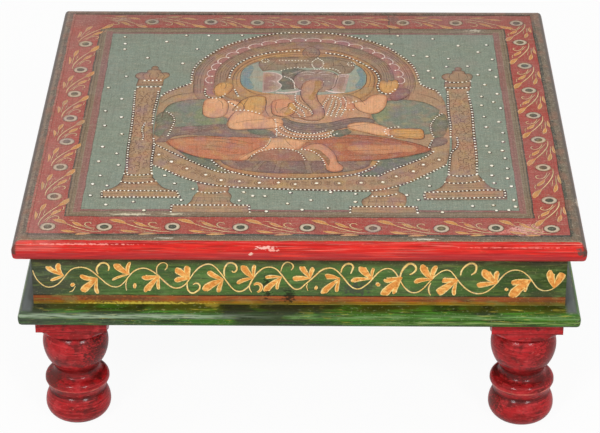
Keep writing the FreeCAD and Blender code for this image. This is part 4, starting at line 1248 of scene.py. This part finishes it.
def paint_shape(target, points, top):
    """Lays one closed shape of paint, a low plate whose top knows how far it is from the shape's edge."""
    mesh = curve_mesh([(0.0, points)], True)
    plate = bmesh.new()
    plate.from_mesh(mesh)
    bpy.data.meshes.remove(mesh)
    bmesh.ops.dissolve_degenerate(plate, dist=0.01, edges=plate.edges)
    edge = [vert.co.copy() for vert in plate.verts]
    tree = KDTree(len(edge))
    for number, co in enumerate(edge):
        tree.insert(co, number)
    tree.balance()
    for axis in (0, 1):
        normal = Vector((1 - axis, axis, 0))
        far = max(co[axis] for co in edge)
        cut = min(co[axis] for co in edge) + PLATE_CELL * 0.6
        while cut < far:
            bmesh.ops.bisect_plane(
                plate, geom=plate.verts[:] + plate.edges[:] + plate.faces[:], dist=0.001,
                plane_co=normal * cut, plane_no=normal,
            )
            cut += PLATE_CELL
    rim = plate.verts.layers.float.new("rim")
    for vert in plate.verts:
        vert[rim] = 0.0 if vert.is_boundary else tree.find(vert.co)[2]
    for vert in plate.verts:
        vert.co.z = top
    for part in bmesh.ops.extrude_face_region(plate, geom=plate.faces[:])["geom"]:
        if isinstance(part, bmesh.types.BMVert):
            part.co.z = PAINT_FOOT
    bmesh.ops.recalc_face_normals(plate, faces=plate.faces)
    mesh = bpy.data.meshes.new("paint_shape")
    plate.to_mesh(mesh)
    plate.free()
    target.from_mesh(mesh)
    bpy.data.meshes.remove(mesh)


def paint_lines(target, lines, middle, taper, stand=Matrix(), proud=0.05):
    """Lays brushed lines as low ridges. Each line is its width in millimetres and its points."""
    mesh = curve_mesh(lines, False, taper)
    for vert in mesh.vertices:
        vert.co.z = middle + max(-proud, min(proud, vert.co.z * 0.15))
    rim = mesh.attributes.new("rim", "FLOAT", "POINT")
    rim.data.foreach_set("value", [WELL_INSIDE] * len(mesh.vertices))
    mesh.transform(stand)
    target.from_mesh(mesh)
    bpy.data.meshes.remove(mesh)


def brush(layers, strokes, taper, stand=Matrix()):
    """Lays strokes in layers. Each layer has its mesh, how much wider it is, its height and its relief."""
    for target, wider, middle, proud in layers:
        lines = [(width + wider, points) for width, points in strokes if wider >= 0 or width > 2]
        paint_lines(target, lines, middle, taper, stand, proud)


def new_paints(count):
    """Empty meshes, one for each paint."""
    paints = [bmesh.new() for number in range(count)]
    for paint in paints:
        paint.verts.layers.float.new("rim")
    return paints


def finish_piece(name, shape, material, smooth=False):
    """Turns a mesh in millimetres into a piece of the table."""
    shape.transform(Matrix.Scale(MM, 4))
    for face in shape.faces:
        face.smooth = smooth
    mesh = bpy.data.meshes.new(name)
    shape.to_mesh(mesh)
    shape.free()
    mesh.materials.append(material)
    piece = bpy.data.objects.new(name, mesh)
    bpy.context.scene.collection.objects.link(piece)
    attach(piece, "root")


class LOWTABLE_OT_boards(bpy.types.Operator):
    """Paints the boards and the lipping of the top"""

    bl_idname = "low_table.boards"
    bl_label = "Top boards and lipping"

    def execute(self, context):
        paints = context.scene.low_table_paints
        dress(["top_board_left", "top_board_middle", "top_board_right", "top_nails"], board_material(paints))
        dress(["top_lipping_" + side for side in SIDES] + ["lipping_pins"], lipping_material(paints))
        return {"FINISHED"}


class LOWTABLE_OT_box(bpy.types.Operator):
    """Paints the aprons, the base frame and the legs"""

    bl_idname = "low_table.box"
    bl_label = "Aprons, base frame and legs"

    def execute(self, context):
        paints = context.scene.low_table_paints
        dress(["apron_" + side for side in SIDES], apron_material(paints))
        dress(["base_rail_" + side for side in SIDES], base_material(paints))
        dress(["leg_" + corner for corner in CORNERS], leg_material(paints))
        return {"FINISHED"}


class LOWTABLE_OT_inside(bpy.types.Operator):
    """Gives the glue blocks, battens and fasteners their wood and steel"""

    bl_idname = "low_table.inside"
    bl_label = "Inside wood and fasteners"

    def execute(self, context):
        blocks = ["corner_block_" + corner for corner in CORNERS]
        dress(blocks + ["batten_front", "batten_rear"], wood_material())
        dress(["base_nails", "leg_screws", "batten_screws"], steel_material())
        return {"FINISHED"}


class LOWTABLE_OT_border(bpy.types.Operator):
    """Paints the flower border round the top"""

    bl_idname = "low_table.border"
    bl_label = "Flower border"

    def execute(self, context):
        paints = context.scene.low_table_paints
        sizes = context.scene.low_table_sizes
        coat, depth = sizes.coat / MM, sizes.shade_depth
        sprays, rims, shadows, eyes, hearts = new_paints(5)
        done = {tuple(round(value) for value in on_sheet(NO_EYE))}
        strokes = {"leaf": [], "stem": []}
        for text in EYES:
            spots = [Vector(point) for point in sheet_line(text)]
            for first, second in zip(spots, spots[1:]):
                run = second - first
                place = Matrix.Translation((first.x, first.y, 0)) @ Matrix.Rotation(
                    math.atan2(run.y, run.x), 4, "Z")
                size = run.length / SPRAY_PITCH
                for kind, width, line in SPRAY:
                    points = [(place @ Vector((x * size, y, 0.0))).xy for x, y in drawn(line)]
                    strokes[kind].append((width, points))
            for spot in spots:
                key = (round(spot.x), round(spot.y))
                if key in done:
                    continue
                done.add(key)
                for target, (radius, level) in zip((shadows, eyes, hearts), EYE_ROUNDS):
                    ring = []
                    for step in range(8):
                        wobble = 1 + EYE_WOBBLE * math.sin(step * 3 + spot.x)
                        turn = step * math.pi / 4
                        ring.append((
                            spot.x + radius * math.cos(turn) * wobble, spot.y + radius * math.sin(turn)))
                    paint_shape(target, ring, BOARD_TOP + coat * level)
        layers = (
            (shadows, 0.9, BOARD_TOP + coat, 0.05), (rims, 0.0, BOARD_TOP + coat * 3, 0.05),
            (sprays, -1.1, BOARD_TOP + coat * 5, 0.05),
        )
        brush(layers, strokes["leaf"], leaf)
        brush(layers, strokes["stem"], even)
        for name, shape, paint, colour, shade, reach in (
            ("border_shadow", shadows, "umber_border_line", "#7c332c", "#6c2c26", depth),
            ("border_rims", rims, "pale_border_line", "#f2cf9c", "#e6b884", depth),
            ("border_sprays", sprays, "ochre_border_leaf", paints.flower, "#c08055", depth),
            ("border_eyes", eyes, "cream_border_eye", "#d6c6ac", "#a8957c", depth / 3),
            ("border_hearts", hearts, "green_border_heart", "#55604e", "#3a3a2e", depth),
        ):
            finish_piece(name, shape, picture_paint(paint, colour, shade, reach))
        return {"FINISHED"}


class LOWTABLE_OT_vine(bpy.types.Operator):
    """Paints the vine along the four aprons"""

    bl_idname = "low_table.vine"
    bl_label = "Apron vine"

    def execute(self, context):
        vine, rims, shadow = new_paints(3)
        stems = [(1.0, on_apron(VINE_STEM))]
        stems += [(width * CURL_WIDTH, on_apron(line)) for width, line in VINE_CURLS]
        leaves = []
        for foot, text in VINE_SPRIGS:
            for stroke in text.split("; "):
                width, line = stroke.split(" ", 1)
                leaves.append((float(width) * LEAF_WIDTH, lobe(on_apron(line + " " + foot))))
        layers = ((shadow, 1.0, 0.03, 0.05), (rims, 0.0, 0.1, 0.06), (vine, -1.5, 0.16, 0.06))
        for side in range(len(SIDES)):
            stand = Matrix.Rotation(side * math.pi / 2, 4, "Z") @ Matrix.Translation(
                (0, APRON_FACE, APRON_FOOT)) @ Matrix.Rotation(math.pi / 2, 4, "X")
            brush(layers, stems, even, stand)
            brush(layers, leaves, leaf, stand)
        line = picture_paint("umber_vine_line", "#3c3614", "#2c2a10", MM)
        finish_piece("vine_shadow", shadow, line)
        pale = vine_material("pale_yellow_brush_stroke", "#f0d484", "#fbe8a8", "#e2b45a")
        finish_piece("vine_rims", rims, pale)
        ochre = context.scene.low_table_paints.vine
        yellow = vine_material("yellow_brush_stroke", ochre, "#f6cc78", "#c4762c")
        finish_piece("vine", vine, yellow)
        return {"FINISHED"}


class LOWTABLE_OT_picture(bpy.types.Operator):
    """Paints the seated figure, its throne and the arch"""

    bl_idname = "low_table.picture"
    bl_label = "Picture"

    def execute(self, context):
        sizes = context.scene.low_table_sizes
        paints = {"ochre": (context.scene.low_table_paints.ochre, "#8a6a50"), **PICTURE_PAINTS}
        shapes = {}
        for number, (name, level, text) in enumerate(SHAPES):
            if name not in shapes:
                shapes[name] = new_paints(1)[0]
            height = sizes.coat / MM * (level + number / len(SHAPES))
            paint_shape(shapes[name], sheet_line(text), BOARD_TOP + height)
        for name, shape in shapes.items():
            colour, shade = paints[name]
            finish_piece("picture_" + name, shape, picture_paint(
                "tempera_" + name, colour, shade, sizes.shade_depth))
        return {"FINISHED"}


class LOWTABLE_OT_drawing(bpy.types.Operator):
    """Draws the dark lines and pale highlights of the picture"""

    bl_idname = "low_table.drawing"
    bl_label = "Drawing lines"

    def execute(self, context):
        sizes = context.scene.low_table_sizes
        coat = sizes.coat / MM
        dark, pale, fine = new_paints(3)
        for level in sorted({line[0] for line in LINES}):
            lines = [(width * PEN_WIDTH, sheet_line(line))
                     for at, width, text in LINES if at == level for line in text.split(";")]
            paint_lines(dark, lines, BOARD_TOP + coat * (level + 1), even)
        rows = [(min(ROW_LINE[0], spacing * ROW_LINE[1]), sheet_line(line))
                for spacing, text in BEAD_ROWS for line in text.split(";")]
        paint_lines(dark, rows, BOARD_TOP + coat * 6, even)
        centres = drawn(ROSETTES)
        rounds = [(ROUND_WIDTH, [on_sheet(point) for point in round_points(centre, radius, 9)])
                  for centre in centres for radius in ROUND_RADII]
        paint_lines(fine, rounds, BOARD_TOP + coat * 2, even)
        paint_lines(fine, self.scrolls() + self.seat_bands(centres), BOARD_TOP + coat * 3, even)
        paint_lines(pale, self.scallops(), BOARD_TOP + coat * 5, even)
        highlights = [(width, sheet_line(line)) for width, text in HIGHLIGHTS for line in text.split(";")]
        paint_lines(pale, highlights, BOARD_TOP + coat * 12, even)
        outline = context.scene.low_table_paints.outline
        for name, shape, paint, colour, shade in (
            ("drawing_lines", dark, "umber_line", outline, "#4a3529"),
            ("fine_scrolls", fine, "sienna_line", "#6b4a33", "#5a3c2a"),
            ("pale_lines", pale, "pink_white_line", "#f4ded4", "#dcbeb2"),
        ):
            finish_piece(name, shape, picture_paint(paint, colour, shade, sizes.shade_depth))
        return {"FINISHED"}

    def scrolls(self):
        """The small scrolls that fill the shafts of the pillars, each a little out of line."""
        scrolls = []
        for left, right, first in PILLAR_SHAFTS:
            for number in range(SCROLLS):
                column = (number % SCROLL_COLUMNS + 0.5) / SCROLL_COLUMNS
                x = left + (right - left) * column + 2 * math.sin(number * 1.3)
                y = first + number * SCROLL_ROW + 3 * math.sin(number * 2.1)
                way = 1 if math.sin(number * 4.4) > 0 else -1
                line = drawn(PILLAR_SCROLL[int(number * 1.7) % len(PILLAR_SCROLL)])
                scrolls.append((SCROLL_WIDTH, [on_sheet((x + way * dx, y + 1.3 * dy)) for dx, dy in line]))
        return scrolls

    def seat_bands(self, centres):
        """The four bowed lines between each two rosettes of the seat."""
        bands = []
        for first, second in zip(centres, centres[1:]):
            run = (Vector(second) - Vector(first)).normalized()
            for rise in SEAT_LINES:
                shift = Vector((-run.y, run.x)) * rise
                ends = [Vector(first) + run * SEAT_GAP + shift, Vector(second) - run * SEAT_GAP + shift]
                bulge = (ends[0] + ends[1]) / 2 - shift * SEAT_BOW
                bands.append((SEAT_WIDTH, [on_sheet(point) for point in (ends[0], bulge, ends[1])]))
        return bands

    def scallops(self):
        """The round bows along the inside of the arch."""
        bows = []
        for number in range(SCALLOPS):
            middle = math.radians((number + 0.5) * SCALLOP_TURN + SCALLOP_START)
            line = []
            for step in range(BOW_POINTS):
                bow = math.radians((step - BOW_POINTS // 2) * BOW_TURN)
                turn = middle + BOW_SIZE[0] * math.sin(bow) / SCALLOP_REACH
                line.append(on_arch(SCALLOP_REACH + 4 + BOW_SIZE[1] * math.cos(bow), turn))
            bows.append((BOW_WIDTH, line))
        return bows


def stride(first, second):
    """The length of a step between two beads, in which a step up the sheet counts for less."""
    return math.hypot(second.x - first.x, CLIMB * (second.y - first.y))


def along_line(points, spacing):
    """Places at an even spacing along a smooth line, wider apart where it runs up the sheet."""
    mesh = curve_mesh([(0.0, points)], False)
    corners = [vert.co.copy() for vert in mesh.vertices]
    bpy.data.meshes.remove(mesh)
    steps = list(zip(corners, corners[1:]))
    total = sum(stride(*step) for step in steps)
    count = max(1, round(total / spacing))
    places = [corners[0]]
    walked, target = 0.0, total / count
    for first, second in steps:
        piece = stride(first, second)
        while piece > 0 and walked + piece >= target - 1e-6 and len(places) <= count:
            places.append(first.lerp(second, (target - walked) / piece))
            target += total / count
        walked += piece
    return places


class LOWTABLE_OT_beads(bpy.types.Operator):
    """Sets the raised beads of cream paint"""

    bl_idname = "low_table.beads"
    bl_label = "Cream beads"

    def execute(self, context):
        paints = context.scene.low_table_paints
        sizes = context.scene.low_table_sizes
        radius, dot = sizes.bead_radius / MM, sizes.dot_radius / MM
        high = sizes.bead_height / MM
        spots = []
        for spacing, text in BEAD_ROWS:
            size = radius * min(ROW_SIZES[1], max(ROW_SIZES[0], spacing / USUAL_SPACING))
            for line in text.split(";"):
                row = along_line(sheet_line(line), spacing / SQUARES)
                spots += [(place.x, place.y, size) for place in row]
        for centre in drawn(BEAD_RINGS):
            spots += [(*on_sheet(point), radius * RING_BEAD) for point in round_points(centre, 10, 8)]
        for number in range(SCALLOPS + 1):
            turn = math.radians(SCALLOP_START + number * SCALLOP_TURN)
            spots.append((*on_arch(SCALLOP_REACH + 3, turn), radius * SCALLOP_BEAD))
        spots += [(*point, dot) for point in sheet_line(ROSETTES)]
        spots += [(*point, EYE_BEAD) for point in sheet_line(EYE_LIGHTS)]
        rings = new_paints(1)[0]
        # Each scattered dot gets a dark disc set a little to its lower right: its painted shadow
        for x, y in sheet_line(DOTS):
            spots.append((x, y, dot))
            paint_shape(rings, round_points((x + 0.3, y - 0.5), 2.0, 4, 4), BOARD_TOP + 0.05)
        beads = bmesh.new()
        dome = bmesh.new()
        bmesh.ops.create_uvsphere(dome, u_segments=8, v_segments=4, radius=1.0)
        for number, (x, y, size) in enumerate(spots):
            size *= 1 + UNEVENNESS * math.sin(number * 2.4)
            bead = bpy.data.meshes.new("bead")
            dome.to_mesh(bead)
            bead.transform(Matrix.Translation((x, y, BOARD_TOP)) @ Matrix.Diagonal((size, size, high, 1.0)))
            beads.from_mesh(bead)
            bpy.data.meshes.remove(bead)
        dome.free()
        finish_piece("bead_shadows", rings, picture_paint(
            "umber_bead_shadow", "#54523f", "#3f3c30", sizes.shade_depth))
        finish_piece("beads", beads, bead_material(paints.bead), smooth=True)
        return {"FINISHED"}


class LOWTABLE_OT_stage(bpy.types.Operator):
    """Makes the floor, the light and the camera"""

    bl_idname = "low_table.stage"
    bl_label = "Floor, light and camera"

    def execute(self, context):
        scene = context.scene
        settings = scene.low_table_stage
        ground = bmesh.new()
        bmesh.ops.create_grid(ground, x_segments=1, y_segments=1, size=FLOOR_HALF)
        mesh = bpy.data.meshes.new("floor")
        ground.to_mesh(mesh)
        ground.free()
        floor = bpy.data.objects.new("floor", mesh)
        scene.collection.objects.link(floor)
        mesh.materials.append(self.floor_material())
        self.sky(scene, settings.sky)
        for name, power, size, place in (
            ("key_lamp_left", settings.key_power, (0.6, 0.45), (-1.1, -2.1, 1.75)),
            ("key_lamp_right", settings.key_power, (0.6, 0.45), (1.1, -2.1, 1.75)),
            ("top_lamp", settings.top_power, (1.2, 0.5), (0.0, 0.2, 2.3)),
        ):
            self.lamp(scene, name, power, size, Vector(place))
        self.camera(scene, settings.lens)
        scene.view_settings.view_transform = "Standard"
        return {"FINISHED"}

    def floor_material(self):
        """White seamless paper, matt, which stays white to the camera but keeps the shadow."""
        material = bpy.data.materials.new("white_paper")
        material.use_nodes = True
        tree = material.node_tree
        tree.nodes.clear()
        paper = add(tree, "ShaderNodeBsdfDiffuse", {"Color": "#f4f4f2"})
        white = add(tree, "ShaderNodeEmission", {"Color": "#ffffff", "Strength": 1.0})
        seen = add(tree, "ShaderNodeMath", {0: self.background_rays(tree), 1: 0.94}, operation="MULTIPLY")
        mixed = add(tree, "ShaderNodeMixShader", {0: seen, 1: paper, 2: white})
        add(tree, "ShaderNodeOutputMaterial", {"Surface": mixed}, out=slice(0, 0))
        return material

    def background_rays(self, tree):
        """One where the camera, a reflection or glass looks at the background."""
        rays = add(tree, "ShaderNodeLightPath", out="Is Camera Ray")
        glossy = rays.node.outputs["Is Glossy Ray"]
        through = rays.node.outputs["Is Transmission Ray"]
        mirrored = add(tree, "ShaderNodeMath", {0: glossy, 1: through}, operation="MAXIMUM")
        return add(tree, "ShaderNodeMath", {0: rays, 1: mirrored}, operation="MAXIMUM")

    def sky(self, scene, strength):
        """Even white light, and pure white where the camera or a reflection sees it."""
        world = bpy.data.worlds.new("white_sky")
        world.use_nodes = True
        tree = world.node_tree
        tree.nodes.clear()
        light, white = [add(tree, "ShaderNodeBackground", {"Color": "#ffffff", "Strength": power})
                        for power in (strength, 1.0)]
        mixed = add(tree, "ShaderNodeMixShader", {0: self.background_rays(tree), 1: light, 2: white})
        add(tree, "ShaderNodeOutputWorld", {"Surface": mixed}, out=slice(0, 0))
        scene.world = world

    def lamp(self, scene, name, power, size, place):
        """An oblong lamp that looks at the table."""
        light = bpy.data.lights.new(name, "AREA")
        light.shape = "RECTANGLE"
        light.energy = power
        light.size, light.size_y = size
        lamp = bpy.data.objects.new(name, light)
        lamp.location = place
        lamp.rotation_euler = (Vector(LAMP_AIM) - place).to_track_quat("-Z", "Y").to_euler()
        scene.collection.objects.link(lamp)

    def camera(self, scene, lens):
        """The photograph's camera: 1.86 m in front, looking down 29 degrees."""
        data = bpy.data.cameras.new("camera")
        data.lens = lens
        data.sensor_width = 36.0
        data.clip_start = 0.05
        camera = bpy.data.objects.new("camera", data)
        dip, yaw, roll = CAMERA_DIP, CAMERA_YAW, CAMERA_ROLL
        ahead = Vector((math.sin(yaw) * math.cos(dip), math.cos(yaw) * math.cos(dip), -math.sin(dip)))
        right = Vector((math.cos(yaw), -math.sin(yaw), 0.0))
        up = right.cross(ahead)
        across = right * math.cos(roll) + up * math.sin(roll)
        above = up * math.cos(roll) - right * math.sin(roll)
        turn = Matrix((across, above, -ahead)).transposed()
        camera.matrix_world = Matrix.Translation(CAMERA_PLACE) @ turn.to_4x4()
        scene.collection.objects.link(camera)
        bpy.context.scene.camera = camera


OPERATORS = (
    LOWTABLE_OT_boards, LOWTABLE_OT_box, LOWTABLE_OT_inside, LOWTABLE_OT_border, LOWTABLE_OT_vine,
    LOWTABLE_OT_picture, LOWTABLE_OT_drawing, LOWTABLE_OT_beads, LOWTABLE_OT_stage,
)


class LOWTABLE_PT_panel(bpy.types.Panel):
    """Lists the steps that dress the table, with their paints and sizes"""

    bl_idname = "LOWTABLE_PT_panel"
    bl_label = "Painted low table"
    bl_space_type = "VIEW_3D"
    bl_region_type = "UI"
    bl_category = "Low Table"

    def draw(self, context):
        scene = context.scene
        for operator in OPERATORS:
            self.layout.operator(operator.bl_idname)
        for group in (scene.low_table_paints, scene.low_table_sizes, scene.low_table_stage):
            box = self.layout.box()
            for name in group.__annotations__:
                box.prop(group, name)


CLASSES = (LowTablePaints, LowTableSizes, LowTableStage) + OPERATORS + (LOWTABLE_PT_panel,)


def register():
    """Registers the groups, operators and panel."""
    for item in CLASSES:
        bpy.utils.register_class(item)
    bpy.types.Scene.low_table_paints = bpy.props.PointerProperty(type=LowTablePaints)
    bpy.types.Scene.low_table_sizes = bpy.props.PointerProperty(type=LowTableSizes)
    bpy.types.Scene.low_table_stage = bpy.props.PointerProperty(type=LowTableStage)


def unregister():
    """Takes them out again."""
    del bpy.types.Scene.low_table_stage
    del bpy.types.Scene.low_table_sizes
    del bpy.types.Scene.low_table_paints
    for item in reversed(CLASSES):
        bpy.utils.unregister_class(item)


def main():
    """Dresses the table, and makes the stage."""
    register()
    bpy.ops.low_table.boards()
    bpy.ops.low_table.box()
    bpy.ops.low_table.inside()
    bpy.ops.low_table.border()
    bpy.ops.low_table.vine()
    bpy.ops.low_table.picture()
    bpy.ops.low_table.drawing()
    bpy.ops.low_table.beads()
    bpy.ops.low_table.stage()


if __name__ == "__main__":
    main()
